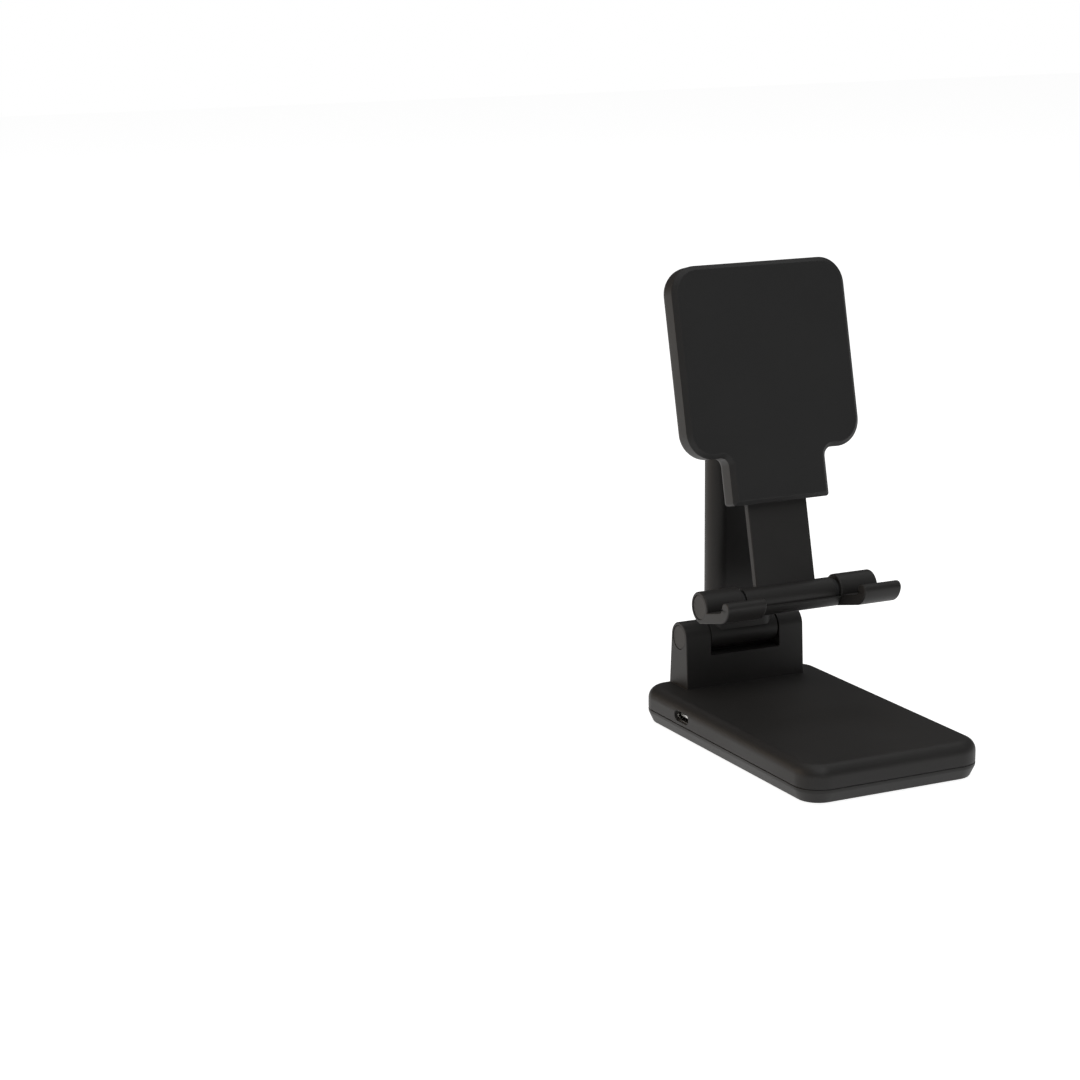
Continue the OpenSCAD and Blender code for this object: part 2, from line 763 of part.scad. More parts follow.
// Rails beside the slider's channel, its floor, bosses for the guide screws and posts for the board
module channel_frame() {
    on_face(channel_front) {
        both_sides() translate([channel_w / 2, pad_low - neck_l + 1, 0])
            cube([rail_t, neck_l + channel_end - 1, plate_t - channel_front - eps]);
        at_guide_screws() cylinder(r = guide_boss_r, h = plate_t - channel_front - eps, $fn = fine_fn);
    }
    on_face(channel_back) translate([-channel_w / 2, pad_low - neck_l + 1, 0])
        cube([channel_w, neck_l + channel_end - 1, plate_t - channel_back - eps]);
    on_face(pad_board_depth + board_t) for (z = [-pad_post_z, pad_post_z])
        translate([pad_board_x, pad_centre + z, 0])
            cylinder(r = pad_post_r, h = plate_t - pad_board_depth - board_t - eps, $fn = fine_fn);
}

module at_guide_screws() {
    for (z = guide_screw_z) both_sides() translate([guide_screw_x, z, 0]) children();
}

// The ears and their ribs start this far inside the plate's back
ear_root = back_y - 0.5;

module ear_outline() {
    circle(ear_r, $fn = fine_fn);
    translate([ear_root, -ear_r]) square([-ear_root, ear_r]);
    polygon([[ear_root, 0], [0, 0], tangent([back_y, ear_r], ear_r, -1), [ear_root, ear_r]]);
}

module rib_outline() {
    foot = [ear_root, rib_up];
    polygon([[ear_root, 0], [0, 0], tangent(foot, ear_r, -1), foot]);
}

module plate_back() {
    color(black) at_plate() difference() {
        union() {
            difference() {
                plate_block();
                plate_hollow();
            }
            intersection() {
                channel_frame();
                plate_block();
            }
            both_sides() {
                side_extrude(ear_in, ears_half) ear_outline();
                side_extrude(ear_in + rib_inset, ears_half - rib_inset) rib_outline();
            }
        }
        bar_x(-ears_half - eps, ears_half + eps, pin_r + pin_play);
        cap_holes(ears_half);
        // Mouth of the slider's channel in the neck's lower end
        on_face(channel_front) translate([-channel_w / 2, pad_low - neck_l - 1, 0])
            cube([channel_w, plate_wall + 2, channel_back - channel_front]);
        on_face(channel_front - eps) at_guide_screws()
            cylinder(r = screw_shank_r + fixed_play, h = screw_shank, $fn = fine_fn);
    }
}

module guide_plate() {
    color(steel) at_plate() on_face(channel_front - guide_t) linear_extrude(guide_t) difference() {
        translate([-guide_w / 2, pad_low - neck_l + plate_wall + cavity_play])
            square([guide_w, neck_l + channel_end - plate_wall]);
        at_guide_screws() circle(screw_shank_r + fixed_play, $fn = fine_fn);
    }
}

module guide_screws() {
    color(steel) at_plate() on_face(channel_front - guide_t - guide_screw_t) at_guide_screws() {
        cylinder(r = guide_screw_r, h = guide_screw_t, $fn = fine_fn);
        cylinder(r = screw_shank_r, h = guide_shank, $fn = fine_fn);
    }
}

module pad_coil() {
    color(copper) at_plate() on_face(bevel) translate([0, pad_centre, 0]) flat_coil(pad_coil_r);
}

module pad_ferrite() {
    color(ferrite_grey) at_plate() on_face(bevel + coil_t) translate([0, pad_centre, 0])
        cylinder(r = pad_coil_r + 1, h = ferrite_t, $fn = fine_fn);
}

module pad_board() {
    color(green) at_plate() on_face(pad_board_depth)
        translate([pad_board_x - pad_board_w / 2, pad_centre - pad_board_l / 2, 0])
            cube([pad_board_w, pad_board_l, board_t]);
}

// Slider and cradle

module slider() {
    color(black) at_cradle() difference() {
        union() {
            bar_x(-mid_half, mid_half, mid_knuckle_r);
            translate([-slider_w / 2, -slider_t / 2, 0])
                cube([slider_w, slider_t, cradle_out + slider_inside]);
        }
        bar_x(-mid_half - eps, mid_half + eps, pin_r + pin_play);
    }
}

// Hook profile with the reach towards the front as -Y and the hinge at the origin
module hook_outline() {
    top = hook_floor - hook_drop;
    inner_r = hook_tip - top;
    curve_x = hook_reach - hook_curve_r;
    curve_y = hook_curve_r - hook_drop;
    lip_in = hook_reach - lip_t;
    mirror([1, 0]) {
        translate([0, -hook_drop]) square([curve_x, hook_floor]);
        difference() {
            intersection() {
                translate([curve_x, curve_y]) circle(hook_curve_r, $fn = fine_fn);
                translate([curve_x - eps, -hook_drop])
                    square([hook_curve_r + eps, hook_drop + hook_tip - tip_r]);
            }
            translate([lip_in - inner_r, top]) square([inner_r - eps, hook_drop]);
        }
        // Round tip and the small curve at the lip's inner foot
        translate([lip_in + tip_r, hook_tip - tip_r]) circle(tip_r, $fn = edge_fn);
        translate([hook_reach - tip_r - lip_draft, hook_tip - tip_r]) circle(tip_r, $fn = edge_fn);
        translate([lip_in + tip_r, top - eps]) square([lip_t - 2 * tip_r - lip_draft, hook_tip - top]);
        difference() {
            translate([lip_in - lip_foot_r, top - eps]) square([lip_foot_r + eps, lip_foot_r]);
            translate([lip_in - lip_foot_r, top + lip_foot_r]) circle(lip_foot_r, $fn = edge_fn);
        }
    }
}

// Curved strip round the underside of the middle knuckle
module web_outline() {
    function turn(i) = web_from + (web_to - web_from) * i / web_steps;
    function at(a, r) = [-r * cos(a), r * sin(a)];
    polygon(concat([for (i = [0:web_steps]) at(turn(i), hook_drop)],
        [for (i = [web_steps:-1:0]) at(turn(i), hook_drop - web_t)]));
}

module cradle() {
    color(black) at_cradle() difference() {
        union() {
            both_sides() {
                bar_x(hook_in, cradle_half, knuckle_r);
                side_extrude(hook_in, cradle_half) hook_outline();
            }
            side_extrude(-hook_in - 1, hook_in + 1) web_outline();
        }
        both_sides() bar_x(hook_in - eps, cradle_half + eps, pin_r + pin_play);
        cap_holes(cradle_half);
    }
}

base_cover();
base_bottom();
foot_pads();
base_screws();
ballast_plate();
main_board();
rear_port();
side_port();
status_light();
base_coil();
base_ferrite();
column_pin();
column_washers();
column_pin_caps();
column_knuckle();
column_sleeve();
front_screws();
back_screws();
stop_screw();
inner_arm();
tilt_pin();
plate_back();
plate_front();
tilt_washers();
tilt_pin_caps();
guide_plate();
guide_screws();
pad_coil();
pad_ferrite();
pad_board();
slider();
cradle_pin();
cradle();
cradle_washers();
cradle_pin_caps();
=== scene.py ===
"""Folding wireless charging stand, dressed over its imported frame.

The script builds the visible pieces of the stand in mesh code, gives every frame node a procedural
finish, and sets the studio and the camera. Sizes are in millimetres in the part's own frame: X to the
right, front towards -Y, Z up, origin under the middle of the base. They become metres when a piece is
settled in the scene.
"""

import logging
import math
from dataclasses import dataclass, field
from enum import Enum
from typing import Sequence

import bmesh
import bpy
from mathutils import Matrix, Quaternion, Vector


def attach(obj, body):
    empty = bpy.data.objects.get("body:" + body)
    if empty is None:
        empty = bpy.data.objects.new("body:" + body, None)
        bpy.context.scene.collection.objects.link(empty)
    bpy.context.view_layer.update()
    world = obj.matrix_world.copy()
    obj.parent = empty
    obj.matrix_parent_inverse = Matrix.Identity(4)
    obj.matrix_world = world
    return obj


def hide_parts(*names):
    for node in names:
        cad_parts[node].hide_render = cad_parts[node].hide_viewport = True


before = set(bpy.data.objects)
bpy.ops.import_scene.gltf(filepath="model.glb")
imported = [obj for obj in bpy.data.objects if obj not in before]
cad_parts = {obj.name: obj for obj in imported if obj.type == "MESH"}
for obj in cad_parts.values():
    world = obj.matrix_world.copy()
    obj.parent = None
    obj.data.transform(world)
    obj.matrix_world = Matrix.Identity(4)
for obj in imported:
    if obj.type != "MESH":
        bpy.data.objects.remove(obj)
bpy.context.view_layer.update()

log = logging.getLogger("stand")
MM = 0.001
Point = tuple[float, float]
Outline = list[Point]


class Way(Enum):
    """The direction in which a flat outline is pulled into a solid."""

    UP = "outline in X and Y, pulled along Z"
    ACROSS = "outline in Y and Z, pulled along X"
    BACK = "outline in X and Z, pulled along Y"

    def place(self, u: float, v: float, w: float) -> Vector:
        """Turns outline coordinates and a depth into a point.

        Args:
            u: First coordinate of the outline.
            v: Second coordinate of the outline.
            w: Distance along the pull.

        Returns:
            The point in the solid's own axes.
        """
        if self is Way.UP:
            return Vector((u, v, w))
        if self is Way.ACROSS:
            return Vector((w, u, v))
        return Vector((u, w, v))


class Join(Enum):
    """How one solid acts on another."""

    CUT = "DIFFERENCE"
    FUSE = "UNION"


def arc(centre: Point, radius: float, start: float, end: float, steps: int) -> Outline:
    """Gives the points of an arc, with both ends.

    Args:
        centre: Middle of the arc.
        radius: Radius of the arc.
        start: First angle in degrees.
        end: Last angle in degrees.
        steps: Number of chords.

    Returns:
        The arc's points from start to end.
    """
    turns = [math.radians(start + (end - start) * i / steps) for i in range(steps + 1)]
    return [(centre[0] + radius * math.cos(t), centre[1] + radius * math.sin(t)) for t in turns]


def round_rect(width: float, length: float, radius: float, steps: int = 10) -> Outline:
    """Gives a rounded rectangle about the origin.

    Args:
        width: Size along the first axis.
        length: Size along the second axis.
        radius: Corner radius.
        steps: Chords in each corner.

    Returns:
        The closed outline, counter-clockwise.
    """
    x, y = width / 2 - radius, length / 2 - radius
    corners = [((x, y), 0), ((-x, y), 90), ((-x, -y), 180), ((x, -y), 270)]
    return [p for c, a in corners for p in arc(c, radius, a, a + 90, steps)]


def oval(width: float, thickness: float, steps: int = 20) -> Outline:
    """Gives a flat oval about the origin, with half-round ends.

    Args:
        width: Size along the first axis.
        thickness: Size along the second axis.
        steps: Chords in each end.

    Returns:
        The closed outline, counter-clockwise.
    """
    r, x = thickness / 2, (width - thickness) / 2
    return arc((x, 0), r, -90, 90, steps) + arc((-x, 0), r, 90, 270, steps)


def circle(radius: float, steps: int = 48) -> Outline:
    """Gives a circle about the origin as a closed outline."""
    return arc((0, 0), radius, 0, 360 - 360 / steps, steps - 1)


def drawn_in(outline: Outline, inset: float) -> Outline:
    """Moves every side of a counter-clockwise outline inwards by the same amount.

    Args:
        outline: The closed outline.
        inset: Distance to move, negative for outwards.

    Returns:
        An outline with as many points.
    """
    moved = []
    count = len(outline)
    for i, (x, y) in enumerate(outline):
        before, after = outline[i - 1], outline[(i + 1) % count]
        a = Vector((x - before[0], y - before[1])).normalized()
        b = Vector((after[0] - x, after[1] - y)).normalized()
        na, nb = Vector((-a.y, a.x)), Vector((-b.y, b.x))
        push = (na + nb) / max(1 + na.dot(nb), 0.2) * inset
        moved.append((x + push.x, y + push.y))
    return moved


def tangent(point: Point, radius: float, side: int) -> float:
    """Finds where a line from a point touches a circle about the origin.

    Args:
        point: A point outside the circle.
        radius: Radius of the circle.
        side: 1 or -1 for the two ways round.

    Returns:
        The angle of the touching point in degrees.
    """
    reach = math.hypot(*point)
    return math.degrees(math.atan2(point[1], point[0]) + side * math.acos(radius / reach))


class Solid:
    """A closed mesh in millimetres that is cut, fused and softened before it is settled."""

    def __init__(self, mesh: bpy.types.Mesh) -> None:
        """Takes over a mesh that is already closed."""
        self.mesh = mesh

    @classmethod
    def stack(cls, rings: Sequence[tuple[Outline, float]], way: Way = Way.UP) -> "Solid":
        """Skins a stack of outlines that have equal numbers of points.

        Args:
            rings: Each outline with its distance along the pull.
            way: The direction of the pull.

        Returns:
            The closed solid.
        """
        bm = bmesh.new()
        loops = [[bm.verts.new(way.place(u, v, w)) for u, v in outline] for outline, w in rings]
        count = len(loops[0])
        for low, high in zip(loops, loops[1:]):
            for i in range(count):
                j = (i + 1) % count
                bm.faces.new((low[i], low[j], high[j], high[i]))
        bm.faces.new(loops[0])
        bm.faces.new(loops[-1])
        return cls._closed(bm)

    @classmethod
    def pull(cls, outline: Outline, start: float, end: float, way: Way = Way.UP,
             rims: tuple[float, float] = (0.0, 0.0), steps: int = 4) -> "Solid":
        """Pulls an outline into a solid, with a round rim at each end if asked.

        Args:
            outline: The closed outline, counter-clockwise.
            start: Distance of the first end.
            end: Distance of the last end.
            way: The direction of the pull.
            rims: Radius of the rim at the first and last end.
            steps: Chords in each rim.

        Returns:
            The closed solid.
        """
        rings: list[tuple[Outline, float]] = []
        for radius, edge, side in ((rims[0], start, 1), (rims[1], end, -1)):
            turns = [math.radians(90 * i / steps) for i in range(steps + 1)] if radius else [0.0]
            part = [(drawn_in(outline, radius * (1 - math.cos(t))) if radius else outline,
                     edge + side * radius * (1 - math.sin(t))) for t in turns]
            rings += part[::-1] if side > 0 else part
        return cls.stack(rings, way)

    @classmethod
    def bar(cls, start: float, end: float, radius: float, way: Way = Way.ACROSS,
            rims: tuple[float, float] = (0.0, 0.0), steps: int = 48) -> "Solid":
        """Makes a round bar along the pull, with round rims if asked."""
        return cls.pull(circle(radius, steps), start, end, way, rims)

    @classmethod
    def block(cls, low: Sequence[float], high: Sequence[float]) -> "Solid":
        """Makes a square-edged block between two corners."""
        outline = [(low[0], low[1]), (high[0], low[1]), (high[0], high[1]), (low[0], high[1])]
        return cls.stack([(outline, low[2]), (outline, high[2])])

    @classmethod
    def _closed(cls, bm: bmesh.types.BMesh) -> "Solid":
        """Turns the faces outwards and keeps the mesh."""
        bmesh.ops.recalc_face_normals(bm, faces=bm.faces)
        mesh = bpy.data.meshes.new("solid")
        bm.to_mesh(mesh)
        bm.free()
        return cls(mesh)

    def moved(self, matrix: Matrix) -> "Solid":
        """Moves the solid and returns it."""
        self.mesh.transform(matrix)
        if matrix.determinant() < 0:
            self.mesh.flip_normals()
        return self

    def at(self, x: float = 0.0, y: float = 0.0, z: float = 0.0) -> "Solid":
        """Shifts the solid and returns it."""
        return self.moved(Matrix.Translation((x, y, z)))

    def copied(self) -> "Solid":
        """Returns a copy with a mesh of its own."""
        return Solid(self.mesh.copy())

    def mirrored(self) -> "Solid":
        """Returns a copy on the other side, left for right."""
        return self.copied().moved(Matrix.Scale(-1, 4, (1, 0, 0)))

    def both(self) -> list["Solid"]:
        """Returns the solid and its mirror image."""
        return [self, self.mirrored()]

    def joined(self, others: Sequence["Solid"], join: Join) -> "Solid":
        """Cuts out or fuses other solids.

        Args:
            others: The solids to join with, one after another.
            join: What each of them does.

        Returns:
            This solid, changed.
        """
        for other in others:
            holder = bpy.data.objects.new("holder", self.mesh)
            tool = bpy.data.objects.new("tool", other.mesh)
            for item in (holder, tool):
                bpy.context.scene.collection.objects.link(item)
            step = holder.modifiers.new("join", "BOOLEAN")
            step.operation, step.solver, step.object = join.value, "EXACT", tool
            self._baked(holder)
            bpy.data.objects.remove(tool)
        return self

    def cut(self, *others: "Solid") -> "Solid":
        """Cuts other solids out of this one."""
        return self.joined(others, Join.CUT)

    def fused(self, *others: "Solid") -> "Solid":
        """Fuses other solids onto this one."""
        return self.joined(others, Join.FUSE)

    def softened(self, radius: float, angle: float = 40.0, steps: int = 2) -> "Solid":
        """Rounds the edges that are still sharp.

        Args:
            radius: Width of the rounding.
            angle: Sharpest turn that stays as it is, in degrees.
            steps: Chords in the rounding.

        Returns:
            This solid, changed.
        """
        bm = bmesh.new()
        bm.from_mesh(self.mesh)
        bmesh.ops.remove_doubles(bm, verts=bm.verts, dist=0.002)
        bmesh.ops.dissolve_limit(bm, angle_limit=math.radians(0.3), verts=bm.verts, edges=bm.edges)
        bm.to_mesh(self.mesh)
        bm.free()
        holder = bpy.data.objects.new("holder", self.mesh)
        bpy.context.scene.collection.objects.link(holder)
        step = holder.modifiers.new("soft", "BEVEL")
        step.width, step.segments, step.limit_method = radius, steps, "ANGLE"
        step.angle_limit, step.use_clamp_overlap = math.radians(angle), False
        step.miter_outer = "MITER_ARC"
        self._baked(holder)
        return self

    def _baked(self, holder: bpy.types.Object) -> None:
        """Keeps the mesh that a holder's modifiers give, and drops the holder."""
        graph = bpy.context.evaluated_depsgraph_get()
        self.mesh = bpy.data.meshes.new_from_object(holder.evaluated_get(graph))
        bpy.data.objects.remove(holder)


@dataclass(frozen=True)
class Finish:
    """A procedural finish, made into one material the first time that it is used."""

    name: str
    colour: tuple[float, float, float]
    roughness: float

    def material(self) -> bpy.types.Material:
        """Returns the finish's material, making it if it isn't there yet."""
        found = bpy.data.materials.get(self.name)
        if found:
            return found
        made = bpy.data.materials.new(self.name)
        made.use_nodes = True
        self.wire(Wiring(made))
        return made

    def wire(self, w: "Wiring") -> None:
        """Builds the finish's nodes."""
        raise NotImplementedError


class Wiring:
    """Short words for the nodes of one material."""

    def __init__(self, material: bpy.types.Material) -> None:
        """Starts from the material's own shader and the piece's own coordinates."""
        self.tree = material.node_tree
        self.shader = self.tree.nodes["Principled BSDF"]
        self.place = self.node("ShaderNodeTexCoord").outputs["Object"]

    def node(self, kind: str, **settings: object) -> bpy.types.Node:
        """Adds a node and sets its properties."""
        made = self.tree.nodes.new(kind)
        for name, value in settings.items():
            setattr(made, name, value)
        return made

    def link(self, source: bpy.types.NodeSocket, target: bpy.types.NodeSocket) -> None:
        """Joins two sockets."""
        self.tree.links.new(source, target)

    def set(self, **values: object) -> None:
        """Sets plain values on the shader's own sockets, with _ for a space."""
        for name, value in values.items():
            self.shader.inputs[name.replace("_", " ")].default_value = value

    def noise(self, scale: float, detail: float = 2.0, stretch: tuple[float, float, float] = (1, 1, 1),
              rough: float = 0.5) -> bpy.types.NodeSocket:
        """Adds a noise pattern.

        Args:
            scale: Grains per metre.
            detail: Octaves of detail.
            stretch: Share of the scale along each axis.
            rough: Strength of the finer octaves.

        Returns:
            The pattern's grey output.
        """
        spread = self.node("ShaderNodeMapping")
        spread.inputs["Scale"].default_value = stretch
        self.link(self.place, spread.inputs["Vector"])
        made = self.node("ShaderNodeTexNoise")
        made.inputs["Scale"].default_value = scale
        made.inputs["Detail"].default_value = detail
        made.inputs["Roughness"].default_value = rough
        self.link(spread.outputs["Vector"], made.inputs["Vector"])
        return made.outputs["Fac"]

    def cells(self, scale: float, feature: str = "F1") -> bpy.types.NodeSocket:
        """Adds a cell pattern and returns its distance output."""
        made = self.node("ShaderNodeTexVoronoi", feature=feature)
        made.inputs["Scale"].default_value = scale
        self.link(self.place, made.inputs["Vector"])
        return made.outputs["Distance"]

    def ramp(self, source: bpy.types.NodeSocket, low: Sequence[float], high: Sequence[float],
             span: tuple[float, float] = (0.3, 0.7)) -> bpy.types.NodeSocket:
        """Spreads a grey pattern between two colours.

        Args:
            source: The grey pattern.
            low: Colour at and below the first place.
            high: Colour at and above the last place.
            span: The two places.

        Returns:
            The colour output.
        """
        made = self.node("ShaderNodeValToRGB")
        for stop, colour, place in zip(made.color_ramp.elements, (low, high), span):
            stop.color, stop.position = (*colour, 1.0), place
        self.link(source, made.inputs["Fac"])
        return made.outputs["Color"]

    def level(self, source: bpy.types.NodeSocket, low: float, high: float) -> bpy.types.NodeSocket:
        """Spreads a grey pattern between two numbers."""
        made = self.node("ShaderNodeMapRange")
        made.inputs["To Min"].default_value, made.inputs["To Max"].default_value = low, high
        self.link(source, made.inputs["Value"])
        return made.outputs["Result"]

    def bump(self, source: bpy.types.NodeSocket, depth: float, strength: float = 1.0,
             under: bpy.types.NodeSocket | None = None) -> bpy.types.NodeSocket:
        """Adds relief.

        Args:
            source: The height pattern, from 0 to 1.
            depth: Height of the relief in metres.
            strength: Share of the relief that shows.
            under: A coarser relief that this one lies on.

        Returns:
            The normal output.
        """
        made = self.node("ShaderNodeBump")
        made.inputs["Distance"].default_value = depth
        made.inputs["Strength"].default_value = strength
        self.link(source, made.inputs["Height"])
        if under is not None:
            self.link(under, made.inputs["Normal"])
        return made.outputs["Normal"]


def shade(colour: Sequence[float], by: float) -> tuple[float, ...]:
    """Returns a colour made darker or lighter by a share."""
    return tuple(min(1.0, c * by) for c in colour)


@dataclass(frozen=True)
class MouldedPlastic(Finish):
    """Plastic from a spark-eroded mould: a fine even grain and a slightly uneven sheen."""

    grain: float = 2600.0
    depth: float = 0.000035
    spread: float = 0.08
    uneven: float = 0.06
    sheen: float = 0.34

    def wire(self, w: Wiring) -> None:
        """Builds a fine grain over a broad, faint unevenness."""
        broad, fine = w.noise(38.0, 3.0), w.noise(self.grain, 2.0, rough=0.6)
        w.link(w.ramp(broad, shade(self.colour, 1 - self.spread), shade(self.colour, 1 + self.spread)),
               w.shader.inputs["Base Color"])
        w.link(w.level(broad, self.roughness - self.uneven, self.roughness + self.uneven),
               w.shader.inputs["Roughness"])
        flow = w.bump(w.noise(90.0, 1.0), 0.00004, 0.5)
        w.link(w.bump(fine, self.depth, 0.6, flow), w.shader.inputs["Normal"])
        w.set(IOR=1.49, Specular_IOR_Level=self.sheen)


@dataclass(frozen=True)
class BrushedSteel(Finish):
    """Turned or rolled steel: fine lines one way, with patches of duller metal."""

    lines: tuple[float, float, float] = (1.0, 0.05, 0.05)
    scale: float = 4200.0

    def wire(self, w: Wiring) -> None:
        """Builds stretched noise for the tool marks and a broad one for the dull patches."""
        marks = w.noise(self.scale, 3.0, self.lines)
        patches = w.noise(160.0, 2.0)
        w.link(w.ramp(patches, shade(self.colour, 0.86), shade(self.colour, 1.08)),
               w.shader.inputs["Base Color"])
        w.link(w.level(marks, self.roughness - 0.08, self.roughness + 0.12), w.shader.inputs["Roughness"])
        w.link(w.bump(marks, 0.000012, 0.4), w.shader.inputs["Normal"])
        w.set(Metallic=1.0)


@dataclass(frozen=True)
class FootRubber(Finish):
    """Matte rubber with a fine cellular skin."""

    dust: float = 240.0
    skin: float = 3200.0

    def wire(self, w: Wiring) -> None:
        """Builds a cell relief and a dusty tone."""
        w.link(w.ramp(w.noise(self.dust, 4.0), shade(self.colour, 0.8), shade(self.colour, 1.3)),
               w.shader.inputs["Base Color"])
        w.link(w.bump(w.cells(self.skin), 0.00003, 0.5), w.shader.inputs["Normal"])
        w.set(Roughness=self.roughness)


@dataclass(frozen=True)
class CircuitBoard(Finish):
    """Solder mask over copper tracks."""

    tracks: float = 700.0

    def wire(self, w: Wiring) -> None:
        """Builds tracks from cell borders under a glossy mask."""
        lines = w.cells(self.tracks, "DISTANCE_TO_EDGE")
        w.link(w.ramp(lines, shade(self.colour, 2.4), self.colour, (0.03, 0.09)),
               w.shader.inputs["Base Color"])
        w.link(w.bump(lines, 0.00003, 0.3), w.shader.inputs["Normal"])
        w.set(Roughness=self.roughness, IOR=1.5)


@dataclass(frozen=True)
class CoilWinding(Finish):
    """Enamelled wire wound in a flat spiral about an axis."""

    middle: tuple[float, float, float] = (0.0, 0.0, 0.0)
    pitch: float = 0.0011

    def wire(self, w: Wiring) -> None:
        """Builds one ring of relief for each turn of the wire, with painted shade in the grooves between
        turns.
        """
        shift = w.node("ShaderNodeVectorMath", operation="SUBTRACT")
        shift.inputs[1].default_value = self.middle
        w.link(w.place, shift.inputs[0])
        far = w.node("ShaderNodeVectorMath", operation="LENGTH")
        w.link(shift.outputs["Vector"], far.inputs[0])
        turns = w.node("ShaderNodeMath", operation="MULTIPLY")
        turns.inputs[1].default_value = math.tau / self.pitch
        w.link(far.outputs["Value"], turns.inputs[0])
        wave = w.node("ShaderNodeMath", operation="SINE")
        w.link(turns.outputs["Value"], wave.inputs[0])
        height = w.level(wave.outputs["Value"], 0.0, 1.0)
        # Painted shade: the base colour darkens to a third of the copper in the grooves between turns.
        w.link(w.ramp(height, shade(self.colour, 0.35), self.colour, (0.1, 0.6)),
               w.shader.inputs["Base Color"])
        w.link(w.bump(height, 0.0002, 0.6), w.shader.inputs["Normal"])
        w.set(Roughness=self.roughness, Metallic=0.85)


@dataclass(frozen=True)
class FerriteSheet(Finish):
    """Dark sintered sheet, crazed into small tiles."""

    tiles: float = 260.0

    def wire(self, w: Wiring) -> None:
        """Builds fine cracks between tiles."""
        cracks = w.cells(self.tiles, "DISTANCE_TO_EDGE")
        w.link(w.ramp(cracks, shade(self.colour, 0.3), self.colour, (0.01, 0.05)),
               w.shader.inputs["Base Color"])
        w.link(w.bump(cracks, 0.00005, 0.5), w.shader.inputs["Normal"])
        w.set(Roughness=self.roughness)


@dataclass(frozen=True)
class LightLens(Finish):
    """Milky lens over a small lamp."""

    cloud: float = 900.0
    clear: float = 0.35

    def wire(self, w: Wiring) -> None:
        """Builds a cloudy body that lets some light through."""
        w.link(w.ramp(w.noise(self.cloud, 2.0), shade(self.colour, 0.85), self.colour),
               w.shader.inputs["Base Color"])
        w.set(Roughness=self.roughness, Transmission_Weight=self.clear, IOR=1.45)


SHELL = MouldedPlastic("black_shell", (0.0275, 0.0265, 0.0255), 0.50)
PAD = MouldedPlastic("pad_skin", (0.0262, 0.0262, 0.0262), 0.56, grain=3400.0, depth=0.00002, spread=0.05)
DISC = MouldedPlastic("disc_grey", (0.052, 0.049, 0.046), 0.52, grain=2000.0)
NYLON = MouldedPlastic("washer_nylon", (0.018, 0.018, 0.018), 0.42, grain=1500.0)
RUBBER = FootRubber("foot_rubber", (0.028, 0.028, 0.028), 0.88)
SCREW = BrushedSteel("screw_steel", (0.62, 0.61, 0.60), 0.24, (1.0, 0.6, 0.6), 2600.0)
# Painted shade: a near-black metal for the sunk back screws and the stop screw, standing in for the shade in
# their holes.
SHADE_DARK_SCREW = BrushedSteel("screw_black", (0.05, 0.05, 0.052), 0.40, (1.0, 0.6, 0.6), 2600.0)
PIN = BrushedSteel("pin_steel", (0.55, 0.55, 0.56), 0.28, (0.05, 1.0, 1.0))
SHEET = BrushedSteel("plate_steel", (0.45, 0.45, 0.46), 0.38, (0.05, 1.0, 1.0), 2400.0)
NICKEL = BrushedSteel("port_nickel", (0.66, 0.65, 0.63), 0.22, (1.0, 1.0, 0.1), 3600.0)
BOARD = CircuitBoard("circuit_board", (0.008, 0.07, 0.022), 0.32)
FERRITE = FerriteSheet("ferrite_sheet", (0.05, 0.05, 0.055), 0.62)
COPPER = (0.45, 0.17, 0.07)
LENS = LightLens("light_lens", (0.72, 0.76, 0.72), 0.3)


@dataclass
class Hinges:
    """Sizes shared by the three hinges."""

    knuckle_r: float = 5.0
    cap_r: float = 4.0
    cap_t: float = 1.2
    cap_sink: float = 0.15
    bore_r: float = 1.56
    fit: float = 0.02
    edge: float = 0.35

    def bore(self, half: float) -> Solid:
        """Makes the cutter for a hinge pin's hole, twice half long."""
        return Solid.bar(-half, half, self.bore_r, steps=32)

    def recess(self, half: float) -> list[Solid]:
        """Returns the two recesses for the caps in a hinge that is twice half wide."""
        return Solid.bar(half - self.cap_t - self.cap_sink, half + 1, self.cap_r + self.fit).both()

    def cap(self, half: float) -> list[Solid]:
        """Makes a hinge's two caps, each a disc with a round rim and a shallow dish.

        Args:
            half: Half the width of the hinge.

        Returns:
            The right and left caps about the hinge's axis.
        """
        top = half - self.cap_sink
        profile = [(self.cap_r - 0.2, top - self.cap_t), (self.cap_r, top - self.cap_t + 0.2),
                   (self.cap_r, top - 0.28), (self.cap_r - 0.08, top - 0.08), (self.cap_r - 0.28, top),
                   (self.cap_r - 0.75, top), (self.cap_r - 1.05, top - 0.07)]
        disc = Solid.stack([(circle(r), x) for r, x in profile], Way.ACROSS)
        return disc.both()


@dataclass
class Places:
    """Where the moving pieces stand at rest, measured as the frame has them."""

    hinge_y: float = 43.8
    hinge_z: float = 29.0
    reach: float = 102.4
    tilt: float = 13.12
    face: float = -15.6
    pad_below: float = 43.0
    cradle_out: float = 45.9
    cradle_depth: float = 5.3

    @property
    def base(self) -> Matrix:
        """The frame's own axes."""
        return Matrix.Identity(4)

    @property
    def column(self) -> Matrix:
        """Axes at the column's hinge."""
        return Matrix.Translation((0, self.hinge_y, self.hinge_z))

    @property
    def plate(self) -> Matrix:
        """Axes at the tilt hinge, turned with the plate."""
        up = Matrix.Translation((0, 0, self.reach))
        return self.column @ up @ Matrix.Rotation(-math.radians(self.tilt), 4, "X")

    @property
    def cradle(self) -> Matrix:
        """Axes at the cradle's hinge, turned with the plate."""
        depth, drop = self.face + self.cradle_depth, -self.pad_below - self.cradle_out
        return self.plate @ Matrix.Translation((0, depth, drop))


